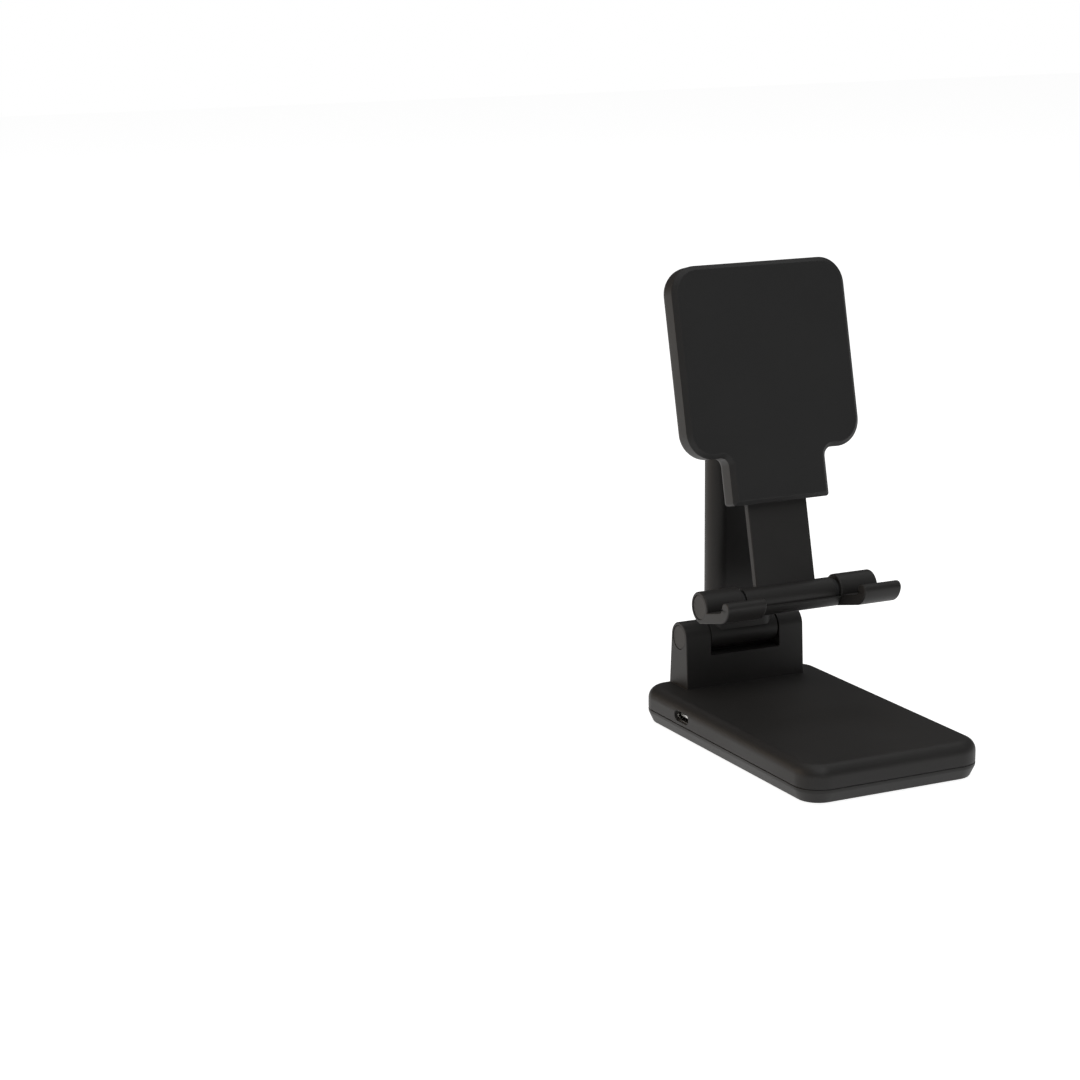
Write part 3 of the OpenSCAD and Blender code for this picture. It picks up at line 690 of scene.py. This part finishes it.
class Assembly:
    """A group of pieces that ride on one body."""

    body = "base"

    @dataclass
    class Sizes:
        """Sizes of the group's own pieces."""

    def __init__(self, places: Places, hinges: Hinges) -> None:
        """Keeps the places and hinge sizes that all groups share, and the group's own sizes."""
        self.places = places
        self.hinges = hinges
        self.sizes = self.Sizes()

    def build(self) -> None:
        """Builds the group's own meshes."""
        raise NotImplementedError

    def dress(self) -> None:
        """Gives a finish to the frame nodes that stay as they are."""

    def settle(self, name: str, solids: Sequence[Solid], place: Matrix, finish: Finish,
               slot: str, replaces: Sequence[str] = (), body: str | None = None) -> bpy.types.Object:
        """Makes one object from solids and lets it ride on the group's body.

        Args:
            name: Name of the piece.
            solids: The solids that make it up, in millimetres.
            place: Axes that the solids were built in.
            finish: The finish to use.
            slot: The record's material slot; not used.
            replaces: Frame nodes that the piece stands for.
            body: Another body to ride on.

        Returns:
            The finished object.
        """
        bm = bmesh.new()
        for solid in solids:
            bm.from_mesh(solid.mesh)
        bmesh.ops.remove_doubles(bm, verts=bm.verts, dist=0.001)
        mesh = bpy.data.meshes.new(name)
        bm.to_mesh(mesh)
        bm.free()
        mesh.transform(Matrix.Scale(MM, 4) @ place)
        mesh.materials.append(finish.material())
        mesh.polygons.foreach_set("use_smooth", [True] * len(mesh.polygons))
        mesh.set_sharp_from_angle(angle=math.radians(38))
        piece = bpy.data.objects.new(name, mesh)
        bpy.context.scene.collection.objects.link(piece)
        weigh = piece.modifiers.new("weighted", "WEIGHTED_NORMAL")
        weigh.keep_sharp = True
        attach(piece, body or self.body)
        if replaces:
            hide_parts(*replaces)
        log.info("%s: %d faces on %s", name, len(mesh.polygons), body or self.body)
        return piece

    def coat(self, finish: Finish, *nodes: str) -> None:
        """Gives frame nodes a finish in all their material slots."""
        for name in nodes:
            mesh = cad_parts[name].data
            mesh.materials.clear()
            mesh.materials.append(finish.material())
            log.info("%s: frame node with %s", name, finish.name)


class Base(Assembly):
    """The flat base with its bracket, ports and feet."""

    body = "base"

    @dataclass
    class Sizes:
        """Sizes of the base and its bracket."""

        width: float = 64.0
        length: float = 106.0
        height: float = 12.5
        corner_r: float = 8.4
        edge_r: float = 3.8
        seam_z: float = 5.2
        draw_in: float = 1.7
        upright: float = 1.0
        wall: float = 1.8
        floor: float = 1.6
        foot_r: float = 4.5
        foot_gap: float = 0.6
        foot_pocket: float = 0.6
        bracket_w: float = 44.4
        bracket_r: float = 5.05
        foot_front: float = 5.9
        foot_back: float = 6.3
        slot_w: float = 26.0
        slot_drop: float = 6.05
        slot_room: float = 0.7
        seam_r: float = 0.18

    @dataclass
    class Ports:
        """Sizes and places of the ports and the status light."""

        width: float = 8.9
        height: float = 3.2
        middle_z: float = 8.0
        side_y: float = 24.6
        light_x: float = 9.4
        light_z: float = 6.8
        light_r: float = 0.8

    def __init__(self, places: Places, hinges: Hinges) -> None:
        """Takes the shared sizes, and adds the ports' own."""
        super().__init__(places, hinges)
        self.ports = self.Ports()

    def corners(self) -> list[Point]:
        """Returns the middles of the four feet."""
        s = self.sizes
        inside = s.corner_r + s.draw_in
        return [(x * (s.width / 2 - inside), y * (s.length / 2 - inside)) for x in (-1, 1) for y in (-1, 1)]

    def slab(self, steps: Sequence[tuple[float, float]]) -> Solid:
        """Skins the base's plan at several heights.

        Args:
            steps: Each height with how far the side is drawn in there.

        Returns:
            The slab.
        """
        s = self.sizes
        rings = []
        for z, inset in steps:
            rings.append((round_rect(s.width - 2 * inset, s.length - 2 * inset,
                                     max(s.corner_r - inset, 0.5), 12), z))
        return Solid.stack(rings)

    def cover(self) -> Solid:
        """Makes the upper shell, with its round top edge and its hollow."""
        s = self.sizes
        steps = [(s.seam_z, s.seam_r), (s.seam_z + s.seam_r, 0.0), (s.height - s.edge_r, 0.0)]
        for i in range(1, 9):
            t = math.radians(90 * i / 8)
            steps.append((s.height - s.edge_r * (1 - math.sin(t)), s.edge_r * (1 - math.cos(t))))
        shell = self.slab(steps)
        bevel, roof = (s.edge_r - s.wall) / 2, s.height - s.wall
        hollow = self.slab([(s.seam_z - 1, s.wall), (roof - bevel, s.wall), (roof, s.wall + bevel)])
        return shell.cut(hollow)

    def bracket(self) -> Solid:
        """Makes the bracket: two ears over a foot, with a round top."""
        s = self.sizes
        drop = s.height - self.places.hinge_z
        front, back = (-s.foot_front, drop), (s.foot_back, drop)
        first, last = tangent(back, s.bracket_r, 1), tangent(front, s.bracket_r, -1)
        top = arc((0, 0), s.bracket_r, first, last % 360, 28)
        outline = [back] + top + [front, (-s.foot_front, drop - s.wall / 2), (s.foot_back, drop - s.wall / 2)]
        half = s.bracket_w / 2
        return Solid.pull(outline, -half, half, Way.ACROSS, (self.hinges.edge, self.hinges.edge)).at(
            0, self.places.hinge_y, self.places.hinge_z)

    def slot(self) -> Solid:
        """Makes the slot that the column turns in."""
        s = self.sizes
        r, far, high = self.hinges.knuckle_r + s.slot_room, s.foot_front + 1, s.bracket_r + 1
        outline = [(-far, -s.slot_drop), (0.0, -s.slot_drop)] + arc((0, 0), r, -90, 0, 16)
        outline += [(s.foot_back + 1, 0.0), (s.foot_back + 1, high), (-far, high)]
        return Solid.pull(outline, -s.slot_w / 2, s.slot_w / 2, Way.ACROSS).at(
            0, self.places.hinge_y, self.places.hinge_z)

    def openings(self) -> list[Solid]:
        """Makes the cutters for both ports and the light."""
        s, p, fit = self.sizes, self.ports, self.hinges.fit
        mouth = oval(p.width + 2 * fit, p.height + 2 * fit, 10)
        rear = Solid.pull(mouth, s.length / 2 - 4, s.length / 2 + 1, Way.BACK).at(0, 0, p.middle_z)
        side = Solid.pull(mouth, -s.width / 2 - 1, 4 - s.width / 2, Way.ACROSS).at(0, p.side_y, p.middle_z)
        light = Solid.bar(s.length / 2 - 4, s.length / 2 + 1, p.light_r + fit, Way.BACK, steps=24).at(
            -p.light_x, 0, p.light_z)
        return [rear, side, light]

    def build(self) -> None:
        """Builds the shells, caps and feet."""
        s, half = self.sizes, self.sizes.bracket_w / 2
        caps_at = self.places.column
        recesses = [r.moved(caps_at) for r in self.hinges.recess(half)]
        shell = self.cover().fused(self.bracket()).cut(self.slot(), *recesses, *self.openings())
        self.settle("cover_shell", [shell.softened(0.22)], self.places.base, SHELL, "shell", ["base_cover"])
        self.settle("hinge_discs_low", self.hinges.cap(half), caps_at, DISC, "cap", ["column_pin_caps"])
        self.bottom()
        self.feet()

    def bottom(self) -> None:
        """Builds the lower shell, drawn in towards the table, with pockets for the feet."""
        s = self.sizes
        low, bend = s.foot_gap, s.seam_z - s.upright
        lean = s.draw_in / (bend - low)
        steps = [(low, s.draw_in + 0.4), (low + 0.12, s.draw_in + 0.06), (low + 0.4, s.draw_in - 0.4 * lean),
                 (bend - 0.35, 0.4 * lean), (bend, 0.04), (bend + 0.35, 0.0), (s.seam_z - s.seam_r, 0.0),
                 (s.seam_z, s.seam_r)]
        shell = self.slab(steps)
        inside = s.wall + s.draw_in
        shell.cut(self.slab([(low + s.floor, inside), (s.seam_z + 1, inside)]))
        pockets = [Solid.bar(low - 1, low + s.foot_pocket, s.foot_r + self.hinges.fit, Way.UP).at(x, y)
                   for x, y in self.corners()]
        self.settle("under_shell", [shell.cut(*pockets)], self.places.base, SHELL, "shell", ["base_bottom"])

    def feet(self) -> None:
        """Builds four rubber feet with a round lower rim and a shallow ring."""
        s = self.sizes
        top, r = s.foot_gap + s.foot_pocket, s.foot_r
        profile = [(r * 0.55, 0.12), (r * 0.62, 0.0), (r - 0.35, 0.0), (r - 0.1, 0.1), (r, 0.35), (r, top)]
        pads = [Solid.stack([(circle(a), z) for a, z in profile]).at(x, y) for x, y in self.corners()]
        self.settle("rubber_feet", pads, self.places.base, RUBBER, "foot_rubber", ["foot_pads"])

    def dress(self) -> None:
        """Gives the inner pieces their finishes."""
        coil = CoilWinding("base_winding", COPPER, 0.35, (0.0, -0.016, 0.0103))
        self.coat(coil, "base_coil")
        self.coat(FERRITE, "base_ferrite")
        self.coat(NICKEL, "rear_port", "side_port")
        self.coat(LENS, "status_light")
        self.coat(BOARD, "main_board")
        self.coat(SHEET, "ballast_plate")
        self.coat(SCREW, "base_screws")
        self.coat(PIN, "column_pin", "column_washers")


class Column(Assembly):
    """The knuckle and the sleeve that stands on it, with their screws."""

    body = "column"

    @dataclass
    class Sizes:
        """Sizes of the column."""

        width: float = 24.0
        wall: float = 1.6
        start: float = 2.0
        end: float = 66.6
        knuckle_half: float = 12.6
        tongue_end: float = 17.8
        tongue_play: float = 0.1
        screw_gap: float = 11.0
        screw_up: float = 9.7
        head_r: float = 1.45
        head_t: float = 0.8
        back_sink: float = 0.7
        stop_up: float = 62.0
        stop_shank: float = 2.9
        recess_w: float = 13.0
        recess_h: float = 2.2
        recess_low: float = -1.2
        recess_deep: float = 0.5

    def holes(self) -> list[Solid]:
        """Makes the cutters for the sunk screw heads, front and back."""
        s, r = self.sizes, self.hinges.knuckle_r
        hole = s.head_r + self.hinges.fit
        front, back = (-r - 1, s.head_t - r), (r - s.back_sink - s.head_t, r + 1)
        spots = [(x, s.screw_up, span) for x in (-s.screw_gap / 2, s.screw_gap / 2) for span in (front, back)]
        spots.append((0, s.stop_up, (r - s.head_t, r + 1)))
        return [Solid.bar(*span, hole, Way.BACK, steps=32).at(x, 0, z) for x, z, span in spots]

    def build(self) -> None:
        """Builds the knuckle, the sleeve and the screws."""
        s, r, edge = self.sizes, self.hinges.knuckle_r, self.hinges.edge
        place = self.places.column
        knuckle = Solid.bar(-s.knuckle_half, s.knuckle_half, r, rims=(edge, edge), steps=64)
        inner = 2 * (r - s.wall)
        tongue = oval(s.width - 2 * s.wall - 2 * s.tongue_play, inner - 2 * s.tongue_play)
        knuckle.fused(Solid.pull(tongue, 0, s.tongue_end, rims=(0, 0.3)))
        knuckle.cut(self.hinges.bore(20), Solid.block(
            (-s.recess_w / 2, r - s.recess_deep, s.recess_low),
            (s.recess_w / 2, r + 1, s.recess_low + s.recess_h)), *self.holes()[:4])
        self.settle("column_root", [knuckle], place, SHELL, "shell", ["column_knuckle"])
        sleeve = Solid.pull(oval(s.width, 2 * r, 28), s.start, s.end, rims=(0, 0.3))
        sleeve.cut(Solid.pull(oval(s.width - 2 * s.wall, inner, 28), 0, s.end + 1),
                   Solid.bar(-s.width, s.width, r + self.hinges.fit, steps=64), *self.holes())
        self.settle("column_tube", [sleeve], place, SHELL, "shell", ["column_sleeve"])
        self.screws()

    def screws(self) -> None:
        """Builds the five screws with domed heads and cross recesses."""
        s, r = self.sizes, self.hinges.knuckle_r
        screw = Screw(s.head_r, s.head_t)
        pair = (-s.screw_gap / 2, s.screw_gap / 2)
        front = [screw.driven(22, (x, -r, s.screw_up), -1) for x in pair]
        back = [screw.driven(-15, (x, r - s.back_sink, s.screw_up), 1) for x in pair]
        stop = Screw(s.head_r, s.head_t, s.stop_shank).driven(40, (0, r, s.stop_up), 1)
        place = self.places.column
        self.settle("bright_screws", front, place, SCREW, "screw_steel", ["front_screws"])
        # Painted shade: the sunk back screws and the stop screw are near-black to stand in for the shade in
        # their holes.
        self.settle("sunk_screws", back, place, SHADE_DARK_SCREW, "screw_black", ["back_screws"])
        self.settle("stop_screw_head", [stop], place, SHADE_DARK_SCREW, "screw_black", ["stop_screw"])


@dataclass
class Screw:
    """A small machine screw with its head's top at the origin, pointing down."""

    head_r: float
    head_t: float
    shank: float = 3.9
    shank_r: float = 0.8
    cross_w: float = 0.62
    cross_slim: float = 0.13
    cross_deep: float = 0.5

    def solid(self, turn: float) -> Solid:
        """Makes the screw.

        Args:
            turn: Angle of the cross recess in degrees.

        Returns:
            The screw, with its head towards +Z.
        """
        profile = [(self.shank_r * 0.5, -self.shank), (self.shank_r, -self.shank + 0.4),
                   (self.shank_r, -self.head_t), (self.head_r, -self.head_t), (self.head_r, -0.3),
                   (self.head_r * 0.9, -0.1), (self.head_r * 0.66, -0.02), (self.head_r * 0.4, 0.0)]
        body = Solid.stack([(circle(r, 32), z) for r, z in profile])
        wide, slim, deep = self.head_r * self.cross_w, self.head_r * self.cross_slim, self.cross_deep
        for angle in (turn, turn + 90):
            low, high = [[(-wide * k, -slim), (wide * k, -slim), (wide * k, slim), (-wide * k, slim)]
                         for k in (0.3, 1.0)]
            blade = Solid.stack([(low, -deep), (high, 0.2)])
            body.cut(blade.moved(Matrix.Rotation(math.radians(angle), 4, "Z")))
        return body

    def driven(self, turn: float, spot: Sequence[float], side: int) -> Solid:
        """Makes the screw with its head at a spot, facing back for 1 and front for -1."""
        lean = Matrix.Rotation(-side * math.pi / 2, 4, "X")
        return self.solid(turn).moved(Matrix.Translation(spot) @ lean)


class Arm(Assembly):
    """The inner arm that slides in the sleeve and carries the plate."""

    body = "arm"

    @dataclass
    class Sizes:
        """Sizes of the arm."""

        width: float = 24.0
        tube_w: float = 20.4
        tube_t: float = 6.4
        start: float = 44.5
        head_start: float = 93.3
        knuckle_half: float = 12.6
        groove_w: float = 2.0
        groove_deep: float = 1.5
        groove_low: float = 61.0
        groove_high: float = 88.5

    def build(self) -> None:
        """Builds the arm with its head, knuckle and groove."""
        s, r, edge, reach = self.sizes, self.hinges.knuckle_r, self.hinges.edge, self.places.reach
        arm = Solid.pull(oval(s.tube_w, s.tube_t, 20), s.start, s.head_start + 1, rims=(0.4, 0))
        head = Solid.pull(oval(s.width, 2 * r, 28), s.head_start, reach, rims=(0.3, 0))
        knuckle = Solid.bar(-s.knuckle_half, s.knuckle_half, r, rims=(edge, edge), steps=64).at(0, 0, reach)
        arm.fused(head, knuckle)
        arm.cut(self.hinges.bore(20).at(0, 0, reach), Solid.block(
            (-s.groove_w / 2, s.tube_t / 2 - s.groove_deep, s.groove_low),
            (s.groove_w / 2, s.tube_t / 2 + 1, s.groove_high)))
        self.settle("arm_tube", [arm], self.places.column, SHELL, "shell", ["inner_arm"])

    def dress(self) -> None:
        """Gives the tilt pin its finish."""
        self.coat(PIN, "tilt_pin")


class Plate(Assembly):
    """The tilting plate: front cover, back shell, ears and neck."""

    body = "plate"

    @dataclass
    class Sizes:
        """Sizes of the plate."""

        width: float = 63.2
        above: float = 18.2
        below: float = 43.0
        corner_r: float = 8.8
        thick: float = 9.4
        bevel: float = 1.3
        lip: float = 0.12
        coil_deep: float = 1.7
        back_r: float = 3.6
        neck_w: float = 35.2
        neck_l: float = 15.5
        neck_r: float = 1.0
        fillet_r: float = 3.0
        wall: float = 1.8
        ear_in: float = 13.0
        ear_out: float = 23.6
        ear_r: float = 5.5
        rib_up: float = 13.7
        rib_inset: float = 0.8
        channel_w: float = 22.2
        channel_from: float = 3.9
        channel_to: float = 6.8
        channel_end: float = 32.8
        rail_t: float = 1.2

    def outline(self, inset: float) -> Outline:
        """Gives the plate's outline with its neck.

        Args:
            inset: How far all sides are drawn in.

        Returns:
            The closed outline, X across and Z up the plate, from the tilt hinge.
        """
        s = self.sizes
        half, neck = s.width / 2 - inset, s.neck_w / 2 - inset
        top, low, foot = s.above - inset, inset - s.below, inset - s.below - s.neck_l
        r, f, n = max(s.corner_r - inset, 0.3), s.fillet_r + inset, max(s.neck_r - inset, 0.12)
        over = neck + f - half + r
        lean = math.degrees(math.asin(over / (r + f)))
        right = arc((neck - n, foot + n), n, -90, 0, 5)
        right += arc((neck + f, low + r - math.sqrt((r + f) ** 2 - over ** 2)), f, 180, 90 + lean, 8)
        right += arc((half - r, low + r), r, lean - 90, 0, 14)
        right += arc((half - r, top - r), r, 0, 90, 14)
        return right + [(-x, z) for x, z in reversed(right)]

    def ears(self) -> list[Solid]:
        """Makes the two ears and their ribs, right and left."""
        s, edge = self.sizes, self.hinges.edge
        back = self.places.face + s.thick
        root = back - 0.5
        top = tangent((back, s.ear_r), s.ear_r, -1)
        ear = [(root, -s.ear_r), (0.0, -s.ear_r)] + arc((0, 0), s.ear_r, -90, top, 28)[1:] + [(root, s.ear_r)]
        solid = Solid.pull(ear, s.ear_in, s.ear_out, Way.ACROSS, (edge, edge))
        touch = math.radians(tangent((root, s.rib_up), s.ear_r, -1))
        crest = (s.ear_r * math.cos(touch), s.ear_r * math.sin(touch))
        rib = [(root, 0.0), (0.0, 0.0), crest, (root, s.rib_up)]
        wedge = Solid.pull(rib, s.ear_in + s.rib_inset, s.ear_out - s.rib_inset, Way.ACROSS, (edge, edge))
        return [solid, wedge, solid.mirrored(), wedge.mirrored()]

    def build(self) -> None:
        """Builds the front cover, the back shell and the caps."""
        s = self.sizes
        place = self.places.plate
        face = Matrix.Translation((0, self.places.face, 0))
        lip = s.lip
        cover = [(self.outline(s.bevel + 0.25), 0.0), (self.outline(s.bevel + 0.06), 0.05),
                 (self.outline(s.bevel - 0.1), 0.18), (self.outline(0.1), s.bevel - 0.22),
                 (self.outline(0.0), s.bevel - lip), (self.outline(lip), s.bevel)]
        front = Solid.stack(cover, Way.BACK)
        self.settle("pad_cover", [front], place @ face, PAD, "pad_face", ["plate_front"])
        back = self.shell().moved(face)
        back.fused(*self.ears())
        back.cut(self.hinges.bore(30), *self.hinges.recess(s.ear_out))
        self.settle("pad_shell", [back.softened(0.2)], place, SHELL, "shell", ["plate_back"])
        self.settle("hinge_discs_high", self.hinges.cap(s.ear_out), place, DISC, "cap", ["tilt_pin_caps"])

    def shell(self) -> Solid:
        """Makes the hollow back shell with the slider's channel."""
        s = self.sizes
        lip = s.lip
        rings = [(self.outline(lip), s.bevel), (self.outline(0.0), s.bevel + lip),
                 (self.outline(0.0), s.thick - s.back_r)]
        for i in range(1, 8):
            t = math.radians(90 * i / 7)
            rings.append((self.outline(s.back_r * (1 - math.cos(t))), s.thick - s.back_r * (1 - math.sin(t))))
        shell = Solid.stack(rings, Way.BACK)
        inner = self.outline(s.wall)
        shell.cut(Solid.pull(inner, s.bevel - 1, s.thick - s.wall, Way.BACK))
        low = -s.below - s.neck_l
        deep, high = s.thick - 1, s.channel_end - s.below
        for x in (s.channel_w / 2, -s.channel_w / 2 - s.rail_t):
            shell.fused(Solid.block((x, s.channel_from, low + 1), (x + s.rail_t, deep, high)))
        shell.fused(Solid.block((-s.channel_w / 2 - 0.5, s.channel_to, low + 1),
                                (s.channel_w / 2 + 0.5, deep, high)))
        return shell.cut(Solid.block((-s.channel_w / 2, s.channel_from, low - 1),
                                     (s.channel_w / 2, s.channel_to, low + s.wall + 1)))

    def dress(self) -> None:
        """Gives the inner pieces their finishes."""
        s = self.sizes
        middle = self.places.plate @ Vector((0, self.places.face + s.coil_deep, (s.above - s.below) / 2))
        coil = CoilWinding("pad_winding", COPPER, 0.35, tuple(middle * MM))
        self.coat(coil, "pad_coil")
        self.coat(FERRITE, "pad_ferrite")
        self.coat(BOARD, "pad_board")
        self.coat(SHEET, "guide_plate")
        self.coat(SCREW, "guide_screws")
        self.coat(PIN, "tilt_washers")


class Slider(Assembly):
    """The flat slider with its middle knuckle."""

    body = "slider"

    @dataclass
    class Sizes:
        """Sizes of the slider."""

        width: float = 21.8
        thick: float = 2.6
        length: float = 51.9
        knuckle_r: float = 4.2
        knuckle_half: float = 16.5

    def build(self) -> None:
        """Builds the tongue and the knuckle as one piece."""
        s = self.sizes
        tongue = Solid.pull(round_rect(s.width, s.thick, 0.45, 4), 0, s.length, rims=(0, 0.4))
        knuckle = Solid.bar(-s.knuckle_half, s.knuckle_half, s.knuckle_r, rims=(0.3, 0.3), steps=56)
        tongue.fused(knuckle).cut(self.hinges.bore(20))
        self.settle("slider_tongue", [tongue], self.places.cradle, SHELL, "shell", ["slider"])

    def dress(self) -> None:
        """Gives the cradle pin its finish."""
        self.coat(PIN, "cradle_pin")


class Cradle(Assembly):
    """The two hooks of the ledge below the pad, and the web that joins them."""

    body = "cradle"

    @dataclass
    class Sizes:
        """Sizes of the cradle."""

        half: float = 31.8
        hook_in: float = 18.0
        drop: float = 5.3
        floor: float = 3.5
        reach: float = 19.3
        tip: float = 1.2
        lip_t: float = 4.8
        curve_r: float = 6.5
        tip_r: float = 1.9
        foot_r: float = 1.6
        web_t: float = 0.9
        web_from: float = 208.0
        web_to: float = 305.0

    def hook(self) -> Outline:
        """Gives the hook's side outline with the round end in it, counter-clockwise."""
        s, r = self.sizes, self.hinges.knuckle_r
        low, top = -s.drop, s.floor - s.drop
        meet = 180 + math.degrees(math.asin(-top / r))
        curve = s.reach - s.curve_r
        lip_in, tip_z = s.reach - s.lip_t, s.tip - s.tip_r
        bend = (s.curve_r - s.tip_r, tip_z - s.curve_r + s.drop)
        along = math.sqrt(bend[0] ** 2 - bend[1] ** 2)
        touch = 180 + math.degrees(math.atan2(-bend[1], along))
        points = arc((0, 0), r, -62, meet, 44)
        points += [(-lip_in + s.foot_r + 2.4, top)]
        points += arc((-lip_in + s.foot_r, top + s.foot_r), s.foot_r, -90, -180, 6)
        points += arc((-lip_in - s.tip_r, tip_z), s.tip_r, 0, 90, 6)
        points += arc((-curve - along, tip_z), s.tip_r, 90, touch, 8)
        points += arc((-curve, s.curve_r - s.drop), s.curve_r, touch, 270, 16)[1:]
        return points + [(-1.5, low), (0.9, low + 0.03)]

    def build(self) -> None:
        """Builds the hooks with their round ends, the web and the caps."""
        s, r, edge = self.sizes, self.hinges.knuckle_r, 0.45
        hook = Solid.pull(self.hook(), s.hook_in, s.half, Way.ACROSS, (edge, edge))
        outer = arc((0, 0), s.drop, s.web_from, s.web_to, 20)
        inner = arc((0, 0), s.drop - s.web_t, s.web_to, s.web_from, 20)
        web = Solid.pull(outer + inner, -s.hook_in - 1, s.hook_in + 1, Way.ACROSS)
        cradle = hook.copied().fused(web, hook.mirrored())
        cradle.cut(self.hinges.bore(40), *self.hinges.recess(s.half))
        place = self.places.cradle
        self.settle("hook_pair", [cradle], place, SHELL, "shell", ["cradle"])
        self.settle("hinge_discs_hook", self.hinges.cap(s.half), place, DISC, "cap", ["cradle_pin_caps"])

    def dress(self) -> None:
        """Gives the washers their finish."""
        self.coat(NYLON, "cradle_washers")


@dataclass
class Lamp:
    """A soft rectangular lamp."""

    name: str
    position: tuple[float, float, float]
    target: tuple[float, float, float]
    size: tuple[float, float]
    watts: float
    colour: tuple[float, float, float] = (1.0, 1.0, 1.0)

    def light(self) -> None:
        """Hangs the lamp in the scene."""
        data = bpy.data.lights.new(self.name, "AREA")
        data.shape, data.size, data.size_y = "RECTANGLE", *self.size
        data.energy, data.color = self.watts, self.colour
        lamp = bpy.data.objects.new(self.name, data)
        bpy.context.scene.collection.objects.link(lamp)
        lamp.location = self.position
        aim = Vector(self.target) - Vector(self.position)
        lamp.rotation_euler = aim.to_track_quat("-Z", "Y").to_euler()


@dataclass
class Studio:
    """A white table, a white surround, soft lamps and the camera."""

    floor_half: float = 3.0
    floor_colour: tuple[float, float, float] = (0.58, 0.58, 0.58)
    floor_roughness: float = 0.9
    floor_sheen: float = 0.1
    floor_glow: float = 0.93
    surround_level: float = 0.07
    lens: float = 89.1814
    eye: tuple[float, float, float] = (-0.4350881, -0.6986893, 0.2587851)
    turn: tuple[float, float, float, float] = (0.7618648, 0.6069321, -0.1370915, -0.1800040)
    lamps: list[Lamp] = field(default_factory=lambda: [
        Lamp("key_front", (-0.2, -0.9, 1.3), (0.0, 0.0, 0.06), (1.2, 1.2), 7.8),
        Lamp("top_soft", (0.2, 0.3, 1.5), (0.0, 0.0, 0.05), (1.6, 1.6), 6.8),
        Lamp("side_warm", (-1.0, 0.5, 0.35), (0.0, 0.02, 0.06), (0.9, 0.4), 2.6, (1.0, 0.79, 0.60)),
        Lamp("fill_right", (1.2, -0.4, 0.6), (0.0, 0.0, 0.08), (1.0, 1.0), 0.5),
    ])

    @staticmethod
    def seen_by(tree: bpy.types.NodeTree, *rays: str) -> bpy.types.NodeSocket:
        """Adds a switch that is 1 for two named kinds of ray and 0 for others."""
        path = tree.nodes.new("ShaderNodeLightPath")
        seen = tree.nodes.new("ShaderNodeMath")
        seen.operation, seen.use_clamp = "ADD", True
        for ray, socket in zip(rays, seen.inputs):
            tree.links.new(path.outputs[ray], socket)
        return seen.outputs[0]

    def table(self) -> None:
        """Makes the white floor, which shows white to the camera and keeps a soft shadow."""
        h = self.floor_half
        mesh = bpy.data.meshes.new("white_table")
        mesh.from_pydata([(-h, -h, 0), (h, -h, 0), (h, h, 0), (-h, h, 0)], [], [(0, 1, 2, 3)])
        floor = bpy.data.objects.new("white_table", mesh)
        bpy.context.scene.collection.objects.link(floor)
        made = bpy.data.materials.new("table_white")
        made.use_nodes = True
        tree = made.node_tree
        shader = tree.nodes["Principled BSDF"]
        shader.inputs["Base Color"].default_value = (*self.floor_colour, 1.0)
        shader.inputs["Roughness"].default_value = self.floor_roughness
        shader.inputs["Specular IOR Level"].default_value = self.floor_sheen
        glow = tree.nodes.new("ShaderNodeEmission")
        share = tree.nodes.new("ShaderNodeMath")
        share.operation = "MULTIPLY"
        share.inputs[1].default_value = self.floor_glow
        tree.links.new(self.seen_by(tree, "Is Camera Ray", "Is Glossy Ray"), share.inputs[0])
        tree.links.new(share.outputs[0], glow.inputs["Strength"])
        both = tree.nodes.new("ShaderNodeAddShader")
        tree.links.new(shader.outputs[0], both.inputs[0])
        tree.links.new(glow.outputs[0], both.inputs[1])
        tree.links.new(both.outputs[0], tree.nodes["Material Output"].inputs["Surface"])
        mesh.materials.append(made)

    def surround(self) -> None:
        """Makes a world that is plain white to the eye and a soft grey as light."""
        world = bpy.data.worlds.new("surround")
        bpy.context.scene.world = world
        world.use_nodes = True
        tree = world.node_tree
        back = tree.nodes["Background"]
        back.inputs["Color"].default_value = (1.0, 1.0, 1.0, 1.0)
        level = tree.nodes.new("ShaderNodeMapRange")
        level.inputs["To Min"].default_value, level.inputs["To Max"].default_value = self.surround_level, 1.0
        tree.links.new(self.seen_by(tree, "Is Camera Ray", "Is Transmission Ray"), level.inputs["Value"])
        tree.links.new(level.outputs["Result"], back.inputs["Strength"])

    def camera(self) -> None:
        """Sets the camera at the stand's left front, a little above it."""
        data = bpy.data.cameras.new("eye")
        data.lens, data.sensor_width = self.lens, 36.0
        data.clip_start, data.clip_end = 0.01, 50.0
        eye = bpy.data.objects.new("eye", data)
        bpy.context.scene.collection.objects.link(eye)
        eye.rotation_mode = "QUATERNION"
        eye.location, eye.rotation_quaternion = self.eye, Quaternion(self.turn)
        bpy.context.scene.camera = eye

    def set_up(self) -> None:
        """Sets the floor, the surround, the lamps and the camera."""
        view = bpy.context.scene.view_settings
        view.view_transform = "Standard"
        self.table()
        self.surround()
        for lamp in self.lamps:
            lamp.light()
        self.camera()


def main() -> None:
    """Builds and dresses the stand group by group, then sets up the studio."""
    logging.basicConfig(level=logging.INFO, format="%(name)s: %(message)s")
    places, hinges = Places(), Hinges()
    for group in (Base, Column, Arm, Plate, Slider, Cradle):
        assembly = group(places, hinges)
        assembly.build()
        assembly.dress()
    Studio().set_up()


if __name__ == "__main__":
    main()
